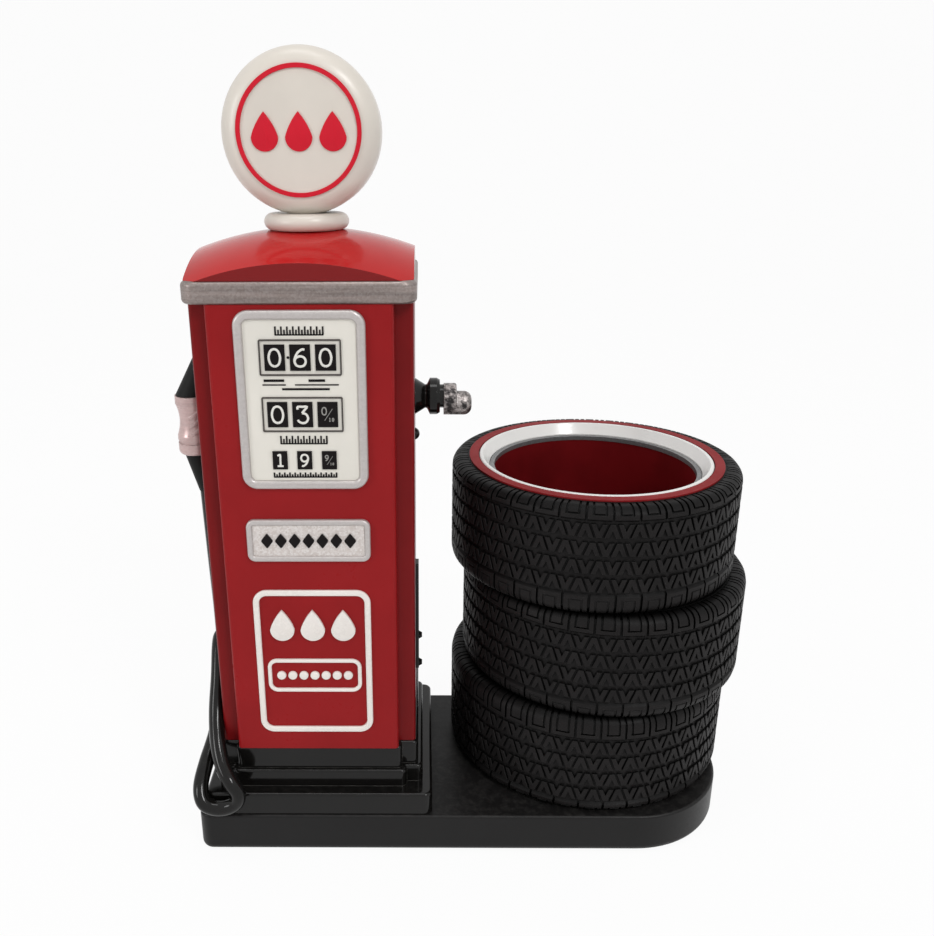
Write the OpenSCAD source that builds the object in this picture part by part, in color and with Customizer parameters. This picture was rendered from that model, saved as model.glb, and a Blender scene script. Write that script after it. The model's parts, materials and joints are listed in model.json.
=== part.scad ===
// Desk organiser: a vintage fuel pump beside a stack of three tyres that holds pens.
// X runs along the front from left to right, Y from front to back and Z up.
// The part stands on Z = 0 and is centred on its own outer box.

/* [Base] */
// Length of the base to the left of the pump's centre line
base_left = 29.2; // [28.4:0.1:34]
// Length of the base to the right of the pump's centre line
base_right = 100.5; // [96:0.5:104]
// Depth of the base beside the tyres
base_d = 51.5; // [49.5:0.5:58]
// Thickness of the base plate
base_h = 10.3; // [6:0.1:14]
// Corner radius at the pump end
base_corner = 3; // [1:0.5:5]
// Corner radius at the tyre end
base_end_corner = 24; // [10:0.5:24]
// Distance by which the tyres overhang the round pad behind the base
pad_inset = 3; // [1:0.5:5]
// Thickness of the felt sheet under the base
felt_h = 0.6; // [0.4:0.1:1.5]
// Distance of the felt's edge from the base's edge
felt_inset = 2.2; // [1.8:0.1:4]
// Radius of the base's upper edge
base_edge = 0.6; // [0.3:0.1:1.2]
// Radius of the base's lower edge
base_foot = 1.8; // [0.5:0.1:2.5]

/* [Plinth] */
// Distance from the front edge of the base to the pump's middle
pump_y = 24.5; // [24.2:0.1:26]
// Width of the lowest step
step_w = 54.2; // [52:0.2:56.6]
// Depth of the lowest step
step_d = 47.6; // [44:0.2:48]
// Height of the lowest step
step_h = 5.8; // [4:0.1:9]
// Height of the middle step
riser_h = 4.4; // [3:0.1:7]
// Distance by which the middle step stands out past the neck
riser_out = 1.1; // [0.6:0.1:1.6]
// Height of the neck under the cabinet
neck_h = 6; // [3:0.1:9]
// Distance by which the neck stands out past the cabinet's sides
neck_out = 0.6; // [0.2:0.1:1]
// Radius of the steps' upper edges
step_edge = 0.7; // [0.3:0.1:1.1]

/* [Cabinet] */
// Width of the cabinet
body_w = 46.2; // [43:0.2:47]
// Depth of the cabinet without its panels
body_d = 34; // [30:0.5:35]
// Height of the cabinet
body_h = 105.4; // [96:0.2:120]
// Corner radius of the cabinet
body_corner = 0.9; // [0.6:0.1:2]
// Width of the front and rear panels
panel_w = 38.2; // [34:0.2:39]
// Thickness of the front and rear panels
panel_t = 3.2; // [2:0.1:4]
// Radius of the panels' upright edges
panel_edge = 0.9; // [0.3:0.1:1.5]

/* [Roof] */
// Height of the metal-look band
trim_h = 4.6; // [3:0.1:6]
// Distance by which the band stands out past the cabinet and its panels
trim_out = 0.7; // [0.3:0.1:1.2]
// Corner radius of the band
trim_corner = 3; // [2:0.1:4]
// Radius of the band's long edges
trim_edge = 1; // [0.5:0.1:1.4]
// Distance from the band's face to the roof's side
roof_in = 0.6; // [0.4:0.1:1.5]
// Radius of the domed roof from side to side
roof_r = 67; // [60:1:80]
// Radius of the domed roof from front to back
roof_depth_r = 41; // [38:0.5:50]
// Height of the roof's top above the band
roof_rise = 8.9; // [8:0.1:9.6]

/* [Globe] */
// Outer radius of the globe
globe_r = 16.4; // [14:0.1:18]
// Thickness of the globe
globe_t = 15; // [12:0.5:18]
// Radius of the globe's rounded edge
globe_edge = 4.4; // [3:0.1:5]
// Outer radius of the collar
collar_r = 9.1; // [8:0.1:10]
// Height of the collar
collar_h = 3.5; // [3:0.1:5]
// Radius of the globe's foot inside the collar
foot_r = 6; // [5:0.1:6.4]
// Outer radius of the ring on the globe's face
ring_r = 12.7; // [11:0.1:13]
// Width of that ring
ring_w = 0.9; // [0.6:0.1:1.4]

/* [Dial] */
// Width of the dial
dial_w = 26.8; // [24:0.2:30]
// Height of the dial
dial_h = 38.1; // [36:0.1:38.3]
// Corner radius of the dial
dial_corner = 3.2; // [2.6:0.1:5]
// Width of the dial's rim
dial_rim = 1.9; // [1.2:0.1:2.4]
// Height of the dial's rim above the panel
rim_rise = 1.2; // [0.8:0.1:1.8]
// Radius of the rim's edges
rim_edge = 0.7; // [0.3:0.1:0.9]
// Gap between the dial and the band above it
dial_gap = 1; // [0.3:0.1:2]
// Width of a number drum's window
drum_w = 4.2; // [3.4:0.1:4.4]
// Height of a number drum's window
drum_h = 5.4; // [4:0.1:5.6]
// Distance between number drums
drum_pitch = 5.2; // [4.8:0.1:5.6]

/* [Plates] */
// Width of the grade plate
grade_w = 27; // [22:0.2:32]
// Height of the grade plate
grade_h = 9.9; // [7:0.1:12]
// Width of the door outline
door_w = 26.4; // [24:0.2:32]
// Height of the door outline
door_h = 37.1; // [32:0.1:42]
// Height of the door outline's foot above the cabinet's foot
door_gap = 4.95; // [3:0.05:7]
// Width of the outline's line
door_line = 1.4; // [0.8:0.1:2]
// Width of the small label's outline
label_w = 21.6; // [18:0.2:22]
// Height of the small label's outline
label_h = 8.6; // [6:0.1:9]
// Distance from the door outline's foot to the small label's middle
label_up = 15.25; // [12:0.05:18]

/* [Side fittings] */
// Height of the nozzle's silver body above the cabinet's foot
nozzle_z = 69.2; // [62:0.1:70]
// Length of the nozzle's silver body
nozzle_l = 13.7; // [12:0.1:18]
// Radius of the nozzle's flanged ends
nozzle_r = 3.8; // [3.4:0.1:4.4]
// Radius of the hose
hose_r = 1.85; // [1.5:0.05:1.9]
// Height of the crank above the cabinet's foot
crank_z = 81.2; // [76:0.1:84]
// Radius of the crank's knob
knob_r = 4.2; // [3.6:0.1:4.8]
// Length of the crank's black hub
hub_l = 6.6; // [5:0.1:8]
// Length of the crank's silver handle
handle_l = 6.4; // [5:0.1:9]
// Distance from the crank down to the side button
button_drop = 9; // [7:0.5:12]
// Length of the rail near the cabinet's foot
rail_l = 29; // [16:0.5:30]
// Height of the rail's middle above the cabinet's foot
rail_z = 25; // [18:0.5:30]

/* [Tyres] */
// Outer radius of a tyre
tyre_r = 35.5; // [35:0.1:36]
// Height of a tyre
tyre_h = 26; // [24:0.1:28]
// Radius of a tyre's rounded shoulders
shoulder_r = 2.4; // [2:0.1:3.8]
// Distance from the pump's centre line to the top tyre's axis
stack_x = 67.9; // [67:0.1:69]
// Distance from the front edge of the base to the top tyre's axis
stack_y = 38.5; // [38:0.1:40]
// Number of shoulder blocks around a tyre
block_n = 32; // [24:2:44]
// Number of zigzag teeth around a tyre
zigzag_n = 64; // [36:2:64]
// Depth of the tread pattern
tread_depth = 0.6; // [0.4:0.1:0.9]

/* [Pen cup] */
// Inner radius of the cup
cup_r = 25; // [22:0.1:25.2]
// Wall of the cup
cup_wall = 1.6; // [1.2:0.1:1.8]
// Thickness of the cup's floor
cup_floor = 2.5; // [1.5:0.1:5]
// Distance from the top of the stack down to the cup's edge
cup_drop = 3.6; // [3.2:0.1:5]
// Outer radius of the wheel's white flange
flange_r = 28.7; // [28.4:0.1:29]
// Outer radius of the stripe on the side wall
stripe_r = 31.2; // [30.5:0.1:31.8]

/* [Fit] */
// Clearance around a piece that passes through another
clearance = 0.15; // [0.1:0.05:0.2]

/* [Hidden] */
$fn = 96;

// Levels, from the surface that the part stands on
base_top = felt_h + base_h;
foot_z = base_top + step_h + riser_h + neck_h;
trim_z = foot_z + body_h;
roof_z = trim_z + trim_h;
roof_top = roof_z + roof_rise;
collar_flat = 0.5;
collar_z = roof_top - collar_flat;
globe_sink = 0.3;
globe_z = collar_z + collar_h + globe_r - globe_sink;
levels = 3;
stack_top = base_top + levels * tyre_h;

// Faces of the pump, from its middle
face_y = pump_y - body_d / 2 - panel_t;
trim_w = body_w + 2 * trim_out;
trim_d = body_d + 2 * panel_t + 2 * trim_out;
bay_w = panel_w + 1.6;

// Offsets of the lower tyres from the top tyre's axis
middle_shift = [3.2, -1.6, 0];
bottom_shift = [0.3, -1.9, 0];

// Nozzle and outlet on the left side of the cabinet
side_gap = 0.1;
nozzle_x = -body_w / 2 - side_gap - nozzle_r;
nozzle_y = pump_y - 4.5;

// The outer box, which the part is centred on
box_left = nozzle_x - nozzle_r;
box_right = stack_x + middle_shift[0] + tyre_r;
hose_front = -1.35;
box_front = hose_front - hose_r;
box_back = stack_y + tyre_r;

module on_desk() translate([-(box_left + box_right) / 2, -(box_front + box_back) / 2, 0]) children();
module on_pump() on_desk() translate([0, pump_y, 0]) children();

// Turns a flat outline in X and Z into a plate of the given thickness in front of a face at y
module upright(y, t) on_desk() translate([0, y, 0]) rotate([90, 0, 0]) linear_extrude(t) children();

module round_rect(w, d, r) {
    square([w - 2 * r, d], center = true);
    square([w, d - 2 * r], center = true);
    for (x = [-1, 1], y = [-1, 1])
        translate([x * (w / 2 - r), y * (d / 2 - r)]) circle(r);
}

module frame_rect(w, d, r, line) {
    difference() {
        round_rect(w, d, r);
        round_rect(w - 2 * line, d - 2 * line, max(r - line, 0.1));
    }
}

module quarter_disc(r) intersection() {
    circle(r);
    square(r);
}

// Section of a slab's rim: e is the radius along the top, and foot the radius along the foot
module rim_section(out, h, e, foot) {
    square([out - max(e, foot), h]);
    translate([0, foot]) square([out, h - e - foot]);
    translate([0, h - e]) square([out - e, e]);
    translate([out - e, h - e]) quarter_disc(e);
    if (foot > 0) {
        square([out - foot, foot]);
        translate([out - foot, foot]) mirror([0, 1]) quarter_disc(foot);
    }
}

// Carries a section round a rectangle: its X runs outwards from each corner's axis
module sweep_rect(w, d, corner) {
    a = w / 2 - corner;
    b = d / 2 - corner;
    for (k = [[a, b, 0], [-a, b, 90], [-a, -b, 180], [a, -b, 270]])
        translate([k[0], k[1], 0]) rotate([0, 0, k[2]]) rotate_extrude(angle = 90) children();
    for (s = [0, 180]) rotate([0, 0, s]) {
        translate([a, b, 0]) rotate([90, 0, 0]) linear_extrude(2 * b) children();
        translate([-a, b, 0]) rotate([90, 0, 90]) linear_extrude(2 * a) children();
    }
}

module soft_slab(w, d, h, corner, e, foot = 0) {
    translate([corner - w / 2, corner - d / 2, 0]) cube([w - 2 * corner, d - 2 * corner, h]);
    sweep_rect(w, d, corner) rim_section(corner, h, e, foot);
}

// A raised frame whose two upper edges are rounded
module soft_frame(w, d, t, corner, line, e) sweep_rect(w, d, corner) {
    translate([corner - line, 0]) square([line, t - e]);
    translate([corner - line + e, 0]) square([line - 2 * e, t]);
    translate([corner - e, t - e]) quarter_disc(e);
    translate([corner - line + e, t - e]) mirror([1, 0]) quarter_disc(e);
}

// Stands a flat piece up against a face at y, with its Z towards the front
module on_face(y) on_desk() translate([0, y, 0]) rotate([90, 0, 0]) children();

// ---- Base ----

module base_plan(inset = 0) {
    l = -base_left + inset;
    r = base_right - inset;
    f = inset;
    b = base_d - inset;
    c = max(base_corner - inset, 0.2);
    e = base_end_corner - inset;
    translate([l + c, f]) square([r - e - l - c, b - f]);
    translate([l, f + c]) square([c, b - f - 2 * c]);
    for (y = [f + c, b - c]) translate([l + c, y]) circle(c);
    for (y = [f + e, b - e]) translate([r - e, y]) circle(e);
    translate([r - e, f + e]) square([e, b - f - 2 * e]);
    translate([stack_x, stack_y, 0] + bottom_shift) circle(tyre_r - pad_inset - inset);
}

module felt_sheet() color([0.12, 0.13, 0.12]) on_desk()
    linear_extrude(felt_h) base_plan(felt_inset);

// Two slabs share the straight edges, and a round pad joins them behind under the tyres
module base_plate() color([0.14, 0.13, 0.13]) on_desk() translate([0, 0, felt_h]) {
    end_w = 2 * base_end_corner + base_corner;
    main_w = base_left + base_right - base_end_corner;
    translate([main_w / 2 - base_left, base_d / 2, 0])
        soft_slab(main_w, base_d, base_h, base_corner, base_edge, base_foot);
    translate([base_right - end_w / 2, base_d / 2, 0])
        soft_slab(end_w, base_d, base_h, base_end_corner, base_edge, base_foot);
    translate([stack_x, stack_y, 0] + bottom_shift) rotate_extrude()
        rim_section(tyre_r - pad_inset, base_h, base_edge, base_foot);
}

// ---- Plinth: a step, a riser and a neck that follow the cabinet's bays ----

module tier(z, h, w, d, bw, bd, corner) translate([0, 0, z]) {
    soft_slab(w, d, h, corner, step_edge);
    soft_slab(bw, bd, h, corner, step_edge);
}

module plinth() color([0.13, 0.12, 0.12]) on_pump() {
    neck_w = body_w + 2 * neck_out;
    neck_d = body_d + 2 * neck_out;
    bay_d = body_d + 2 * panel_t - 2 * neck_out;
    out = 2 * riser_out;
    translate([0, 0, base_top]) soft_slab(step_w, step_d, step_h, 2, step_edge);
    tier(base_top + step_h, riser_h, neck_w + out, neck_d + out, bay_w + out, bay_d + out, 1.5);
    tier(base_top + step_h + riser_h, neck_h, neck_w, neck_d, bay_w, bay_d, 1.2);
}

// ---- Cabinet ----

module cabinet() color([0.62, 0.12, 0.13]) on_pump()
    translate([0, 0, foot_z]) linear_extrude(body_h) round_rect(body_w, body_d, body_corner);

module panel_plan() {
    e = panel_edge;
    translate([-panel_w / 2, 0]) square([panel_w, panel_t - e]);
    translate([-panel_w / 2 + e, 0]) square([panel_w - 2 * e, panel_t]);
    for (x = [-1, 1]) translate([x * (panel_w / 2 - e), panel_t - e]) circle(e);
}

module front_panel() color([0.66, 0.13, 0.14]) on_pump()
    translate([0, -body_d / 2, foot_z]) mirror([0, 1, 0]) linear_extrude(body_h) panel_plan();

module rear_panel() color([0.66, 0.13, 0.14]) on_pump()
    translate([0, body_d / 2, foot_z]) linear_extrude(body_h) panel_plan();

// ---- Roof ----

module trim_band() color([0.66, 0.64, 0.62]) on_pump()
    translate([0, 0, trim_z]) soft_slab(trim_w, trim_d, trim_h, trim_corner, trim_edge, trim_edge);

// The dome is flatter from side to side than from front to back. Four upright sides
// cut it off, so each side ends in an arched gable.
module roof_dome() translate([0, 0, roof_top - roof_r]) rotate([90, 0, 0]) rotate_extrude() intersection() {
    translate([roof_r - roof_depth_r, 0]) circle(roof_depth_r);
    translate([roof_r - 2 * roof_rise, -trim_d]) square([3 * roof_rise, 2 * trim_d]);
}

module roof() color([0.75, 0.16, 0.14]) on_pump() intersection() {
    translate([0, 0, roof_z]) linear_extrude(roof_rise - collar_flat)
        round_rect(trim_w - 2 * roof_in, trim_d - 2 * roof_in, trim_corner - roof_in);
    roof_dome();
}

// ---- Globe ----

module globe_collar() color([0.86, 0.84, 0.8]) on_pump() translate([0, 0, collar_z])
    rotate_extrude() difference() {
        union() {
            translate([0, 0]) square([collar_r - collar_h / 2, collar_h]);
            translate([collar_r - collar_h / 2, collar_h / 2]) circle(collar_h / 2);
        }
        translate([-collar_r, -1]) square([collar_r + foot_r + clearance, collar_h + 2]);
    }

module globe() color([0.9, 0.88, 0.83]) on_pump() {
    translate([0, 0, globe_z]) rotate([90, 0, 0]) rotate_extrude() intersection() {
        round_rect(2 * globe_r, globe_t, globe_edge);
        translate([0, -globe_t]) square([globe_r * 2, globe_t * 2]);
    }
    translate([0, 0, collar_z]) cylinder(h = collar_h, r = foot_r);
}

module globe_ring() color([0.75, 0.12, 0.14])
    upright(pump_y - globe_t / 2, 0.35) translate([0, globe_z]) difference() {
        circle(ring_r);
        circle(ring_r - ring_w);
    }

// ---- Dial ----

dial_z = trim_z - dial_gap - dial_h / 2;
dial_back = 0.2;
face_t = 0.4;
drum_t = 0.3;
line_w = 0.3;
row_w = 2 * drum_pitch + drum_w;
row_frame_w = row_w + 2.2;
row_frame_h = drum_h + 2.1;
sale_row = 9.4;
volume_row = -2.6;
price_row = -12.6;

module dial_rim() color([0.8, 0.8, 0.79]) on_face(face_y) translate([0, dial_z, 0])
    soft_frame(dial_w, dial_h, rim_rise, dial_corner, dial_rim, rim_edge);

module dial_face() color([0.88, 0.87, 0.82])
    upright(face_y, face_t) translate([0, dial_z])
        round_rect(dial_w - 2 * dial_rim, dial_h - 2 * dial_rim, dial_corner - dial_rim);

module row_frame(row) color([0.2, 0.2, 0.2])
    upright(face_y - face_t, drum_t) translate([0, dial_z + row])
        frame_rect(row_frame_w, row_frame_h, 0.35, line_w);

module drum_row(row, scale_by = 1) color([0.08, 0.08, 0.08])
    upright(face_y - face_t, drum_t)
        for (k = [-1, 0, 1]) translate([k * drum_pitch, dial_z + row])
            square([drum_w * scale_by, drum_h * scale_by], center = true);

module sale_frame() row_frame(sale_row);
module sale_drums() drum_row(sale_row);
module volume_frame() row_frame(volume_row);
module volume_drums() drum_row(volume_row);
module price_drums() drum_row(price_row, 0.74);

// ---- Plates ----

plate_rise = 1;
plate_line = 1.3;
outline_rise = 0.6;
door_foot = foot_z + door_gap;
// The grade plate hangs midway between the dial and the door outline
grade_z = (dial_z - dial_h / 2 + door_foot + door_h) / 2;

module grade_frame() color([0.78, 0.78, 0.77]) on_face(face_y) translate([0, grade_z, 0])
    soft_frame(grade_w, grade_h, plate_rise, 1.8, plate_line, 0.5);

module grade_face() color([0.8, 0.8, 0.78])
    upright(face_y, plate_rise / 2) translate([0, grade_z])
        round_rect(grade_w - 2 * plate_line, grade_h - 2 * plate_line, 0.5);

module door_outline() color([0.9, 0.89, 0.86]) on_face(face_y) translate([0, door_foot + door_h / 2, 0])
    soft_frame(door_w, door_h, outline_rise, 3.2, door_line, 0.35);

module label_outline() color([0.9, 0.89, 0.86]) on_face(face_y) translate([0, door_foot + label_up, 0])
    soft_frame(label_w, label_h, outline_rise, 2.2, 0.9, 0.35);

// ---- Nozzle and hose on the left side ----

module at_nozzle() on_desk() translate([nozzle_x, nozzle_y, foot_z + nozzle_z]) children();

guard_l = 14;
guard_r = nozzle_r - 0.3;
guard_lean = 20;
guard_tip = 1.5;
guard_sink = 2;
grip_l = 9;
grip_r = nozzle_r - 1.2;
grip_over = 1;
hose_side = hose_r + 0.1;
hose_top = step_h + riser_h + neck_h + nozzle_z - grip_l;
heel_r = 1.1;
waist_depth = 0.7;
waist_r = 10;
waist_z = nozzle_l * 0.6;
ribs = 3;
rib_rise = 0.35;
rib_lean = 32;

// The spout end leans towards the cabinet and is cut off by its side
module nozzle_guard() color([0.1, 0.1, 0.1]) at_nozzle() difference() {
    translate([0, 0, nozzle_l]) intersection() {
        rotate([0, guard_lean, 0]) translate([0, 0, -guard_sink])
            cylinder(h = guard_l, r1 = guard_r, r2 = guard_tip);
        translate([-3 * nozzle_r, -2 * nozzle_r, 0]) cube([6 * nozzle_r, 4 * nozzle_r, guard_l]);
    }
    translate([nozzle_r + side_gap, -2 * nozzle_r, nozzle_l / 2])
        cube([4 * nozzle_r, 4 * nozzle_r, nozzle_l + guard_l]);
}

// Half of the body's section: a rounded heel, a groove above it, a waist and a flange
module nozzle_section(rise = 0) difference() {
    union() {
        square([nozzle_r - heel_r, nozzle_l]);
        translate([0, heel_r]) square([nozzle_r, nozzle_l - heel_r]);
        translate([nozzle_r - heel_r, heel_r]) circle(heel_r);
    }
    translate([nozzle_r - waist_depth + waist_r + rise, waist_z]) circle(waist_r);
    translate([nozzle_r - 0.35, waist_z / 3]) square([1, 0.7]);
}

// Slanting ribs stand out of the waist on the side that faces the front
module nozzle_body() color([0.72, 0.68, 0.68]) at_nozzle() {
    rotate_extrude() nozzle_section();
    intersection() {
        rotate_extrude() nozzle_section(rib_rise);
        for (k = [0 : ribs - 1]) translate([0, -nozzle_r, waist_z + (k - 1) * 2 - 1.6])
            rotate([0, -rib_lean, 0]) translate([-0.4, 0, 0]) cube([nozzle_r, nozzle_r, 0.7]);
    }
}

// The grip tapers and leans in to the hose, with level ends against the body and the hose
module nozzle_grip() color([0.1, 0.1, 0.1]) at_nozzle() intersection() {
    lean = atan2(nozzle_r + side_gap - hose_side, grip_l);
    rotate([0, -lean, 0]) translate([0, 0, -grip_l - grip_over])
        cylinder(h = grip_l + 2 * grip_over, r1 = hose_r, r2 = grip_r);
    translate([-nozzle_r, -nozzle_r, -grip_l]) cube([3 * nozzle_r, 2 * nozzle_r, grip_l]);
}

// Points of the hose's centre line from the cabinet's left side, the base's front edge and its top
hose_path = [
    [-hose_side, nozzle_y, hose_top], [-hose_side, 21.5, 58], [-hose_side, 22.8, 43], [-hose_side, 22.3, 33],
    [-2.2, 19.5, 22.8], [-3.2, 12.5, 15.2], [-4.5, 6, 10.9], [-5.1, 1.6, 7.6], [-4.2, -0.7, 4.8],
    [-1.7, -1.3, 3.5], [1.3, -1.35, 3.6], [3.8, -1.35, 5.2], [4.3, -1.35, 7.8], [2.7, -0.8, 10.4],
    [0.6, 1.5, 13.2], [-1, 4.9, 17.2], [-hose_side, 9.8, 22.8], [-hose_side, 14.5, 29.8], [-hose_side, 17.6, 35.8],
    [-1.5, 18.4, 38.4], [-0.5, 18.4, 39.2]
];

function spline(p, i, t) =
    let (a = p[max(i - 1, 0)], b = p[i], c = p[i + 1], d = p[min(i + 2, len(p) - 1)])
    0.5 * (2 * b + t * (c - a) + t * t * (2 * a - 5 * b + 4 * c - d) + t * t * t * (3 * b - a - 3 * c + d));
function route(p, n) = [for (i = [0 : len(p) - 2], k = [0 : n - 1]) spline(p, i, k / n), p[len(p) - 1]];
function unit(v) = v / norm(v);
function heading(p, i) = unit(p[min(i + 1, len(p) - 1)] - p[max(i - 1, 0)]);
function frames(p, i = 0, up = [0, 1, 0], out = []) =
    i == len(p) ? out :
    let (t = heading(p, i), u = unit(up - (up * t) * t)) frames(p, i + 1, u, concat(out, [[u, cross(t, u)]]));

module tube(p, r, sides) {
    f = frames(p);
    n = len(p);
    points = [for (i = [0 : n - 1], k = [0 : sides - 1])
        p[i] + r * (cos(360 * k / sides) * f[i][0] + sin(360 * k / sides) * f[i][1])];
    walls = [for (i = [0 : n - 2], k = [0 : sides - 1])
        let (a = i * sides + k, b = i * sides + (k + 1) % sides) [a, a + sides, b + sides, b]];
    caps = [[for (k = [0 : sides - 1]) k], [for (k = [sides - 1 : -1 : 0]) (n - 1) * sides + k]];
    polyhedron(points = points, faces = concat(walls, caps), convexity = 6);
}

module hose() color([0.07, 0.07, 0.07]) on_desk() translate([-body_w / 2, 0, base_top])
    tube(route(hose_path, 2), hose_r, 12);

module hose_union() color([0.1, 0.1, 0.1]) on_desk()
    translate([-body_w / 2, hose_path[len(hose_path) - 1][1], base_top + hose_path[len(hose_path) - 1][2]])
        rotate([0, -90, 0]) cylinder(h = 0.4, r = hose_r + 0.5);

// ---- Crank, button and rail on the right side ----

module on_right_side(z) on_pump() translate([body_w / 2, 0, foot_z + z]) rotate([0, 90, 0]) children();

neck_r = knob_r * 0.64;
knob_z = hub_l * 0.52;
groove_l = 0.9;
end_r = 1.8;

// A flared foot, a waist and a bevelled knob with a short neck, turned in one piece
module crank_hub() color([0.08, 0.08, 0.08]) on_right_side(crank_z) rotate_extrude() polygon([
    [0, 0], [knob_r, 0], [knob_r * 0.96, 0.3], [neck_r, hub_l * 0.36], [neck_r + 0.1, hub_l * 0.42],
    [knob_r, knob_z], [knob_r, hub_l - groove_l - 0.7], [knob_r * 0.9, hub_l - groove_l],
    [neck_r, hub_l - groove_l], [neck_r, hub_l], [0, hub_l]
]);

module round_end_rod(l, r, e) rotate_extrude() {
    square([r, l - e]);
    square([r - e, l]);
    translate([r - e, l - e]) quarter_disc(e);
}

// Two rods side by side: the upper one ends short of the lower one
module crank_handle() color([0.6, 0.6, 0.6]) on_right_side(crank_z) translate([0, 0, hub_l]) {
    translate([1.6, 0, 0]) round_end_rod(handle_l, knob_r * 0.65, end_r);
    translate([0.4, 0, 0]) round_end_rod(handle_l * 0.46, knob_r * 0.8, 0.5);
}

button_r = 1.5;
button_sink = 0.4;

module side_button() color([0.08, 0.08, 0.08]) on_right_side(crank_z - button_drop) intersection() {
    translate([0, 0, -button_sink]) sphere(button_r);
    cylinder(h = 2 * button_r, r = 2 * button_r);
}

rail_w = 3;
rail_t = 0.8;
knuckle_r = 1.5;
knuckle_h = 1.6;

module side_rail() color([0.1, 0.1, 0.1]) {
    on_pump() translate([body_w / 2, -rail_w / 2, foot_z + rail_z - rail_l / 2]) cube([rail_t, rail_w, rail_l]);
    for (drop = [rail_l * 0.47, rail_l * 0.2]) on_right_side(rail_z - drop)
        cylinder(h = knuckle_h, r1 = knuckle_r, r2 = knuckle_r * 0.4);
}

// ---- Tyres ----

block_h = 4.2;
slot_w = 0.8;
slot_depth = 0.9;
slot_run = 0.3;
notch_w = 1;
notch_depth = 0.6;
notch_foot = 1.3;
row_gap = 0.7;
rows = 4;
row_z0 = (tyre_h - block_h * 2) / rows;
row_h = (tyre_h - 2 * block_h) / rows - row_gap;
bore_r = cup_r + cup_wall + clearance;

module tyre_section() {
    difference() {
        union() {
            square([tyre_r - shoulder_r, tyre_h]);
            translate([0, shoulder_r]) square([tyre_r, tyre_h - 2 * shoulder_r]);
            for (z = [shoulder_r, tyre_h - shoulder_r]) translate([tyre_r - shoulder_r, z]) circle(shoulder_r);
        }
        translate([tyre_r - tread_depth, block_h]) square([shoulder_r, tyre_h - 2 * block_h]);
    }
}

// A slot follows the rounded shoulder from a height above the tread and runs out on the side wall
module shoulder_slot(w, depth, foot) rotate([90, 0, 0]) translate([0, 0, -w / 2]) linear_extrude(w)
    polygon([
        [tyre_r - depth, foot], [tyre_r - depth, tyre_h - shoulder_r],
        [tyre_r - shoulder_r, tyre_h - depth / 2], [tyre_r - shoulder_r, tyre_h + shoulder_r],
        [tyre_r + shoulder_r, tyre_h + shoulder_r], [tyre_r + shoulder_r, foot]
    ]);

// Full slots part the blocks, and a shorter one in the middle of each block makes it a U
module block_cuts() {
    shoulder_slot(slot_w, slot_depth, tyre_h - block_h - slot_run);
    rotate([0, 0, 180 / block_n]) shoulder_slot(notch_w, notch_depth, tyre_h - block_h + notch_foot);
}

module tyre(place, level, axis_shift) color([0.12, 0.12, 0.12]) on_desk()
    translate(place + [0, 0, base_top + level * tyre_h]) difference() {
        rotate_extrude() tyre_section();
        translate([0, 0, -1] - axis_shift) cylinder(h = tyre_h + 2, r = bore_r);
        if (level == levels - 1)
            translate([0, 0, tyre_h - dish_h]) cylinder(h = dish_h, r1 = bore_r, r2 = seat_r);
        for (k = [0 : block_n - 1]) rotate([0, 0, 360 * k / block_n]) block_cuts();
        translate([0, 0, tyre_h]) mirror([0, 0, 1])
            for (k = [0 : block_n - 1]) rotate([0, 0, 360 * (k + 0.5) / block_n]) block_cuts();
    }

// One closed zigzag ridge round the tyre: four corners at each turn of the zigzag
module zigzag_ring(z, h, n, r0, r1, stroke) {
    turns = 2 * n;
    points = [for (i = [0 : turns - 1])
        let (a = 180 * i / n, m = z + (i % 2 == 0 ? stroke : h - stroke))
        each [for (q = [[r0, -stroke], [r1, -stroke], [r1, stroke], [r0, stroke]])
            [q[0] * cos(a), q[0] * sin(a), m + q[1]]]];
    faces = [for (i = [0 : turns - 1], k = [0 : 3])
        let (a = 4 * i, b = 4 * ((i + 1) % turns), m = (k + 1) % 4) [a + k, a + m, b + m, b + k]];
    polyhedron(points = points, faces = faces, convexity = 8);
}

stroke = 0.62;

module tread(place, level) color([0.14, 0.14, 0.14]) on_desk()
    translate(place + [0, 0, base_top + level * tyre_h])
        for (row = [0 : rows - 1])
            zigzag_ring(block_h + row_gap / 2 + row * row_z0, row_h, zigzag_n,
                tyre_r - tread_depth, tyre_r, stroke);

top_place = [stack_x, stack_y, 0];
module tyre_bottom() tyre(top_place + bottom_shift, 0, bottom_shift);
module tyre_middle() tyre(top_place + middle_shift, 1, middle_shift);
module tyre_top() tyre(top_place, 2, [0, 0, 0]);
module tread_bottom() tread(top_place + bottom_shift, 0);
module tread_middle() tread(top_place + middle_shift, 1);
module tread_top() tread(top_place, 2);

// ---- Wheel and pen cup ----

module on_stack(z) on_desk() translate([stack_x, stack_y, z]) children();

flange_t = 0.4;
stripe_gap = 0.2;
dish_r = bore_r - 0.6;
dish_h = 2.2;
seat_r = flange_r - 0.6;

module side_stripe() color([0.62, 0.2, 0.2]) on_stack(stack_top) difference() {
    cylinder(h = flange_t, r = stripe_r);
    translate([0, 0, -1]) cylinder(h = 3, r = flange_r + stripe_gap);
}

// The flange lies on the side wall and dishes down into the bore's tapered mouth
module wheel_flange() color([0.9, 0.9, 0.88]) on_stack(stack_top) rotate_extrude() polygon([
    [flange_r, 0], [flange_r, flange_t / 2], [flange_r - flange_t / 2, flange_t],
    [seat_r - 0.3, flange_t], [dish_r, -dish_h], [dish_r, -cup_drop + 0.2],
    [bore_r - clearance, -cup_drop + 0.2], [bore_r - clearance, -dish_h], [seat_r - clearance, 0]
]);

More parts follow.
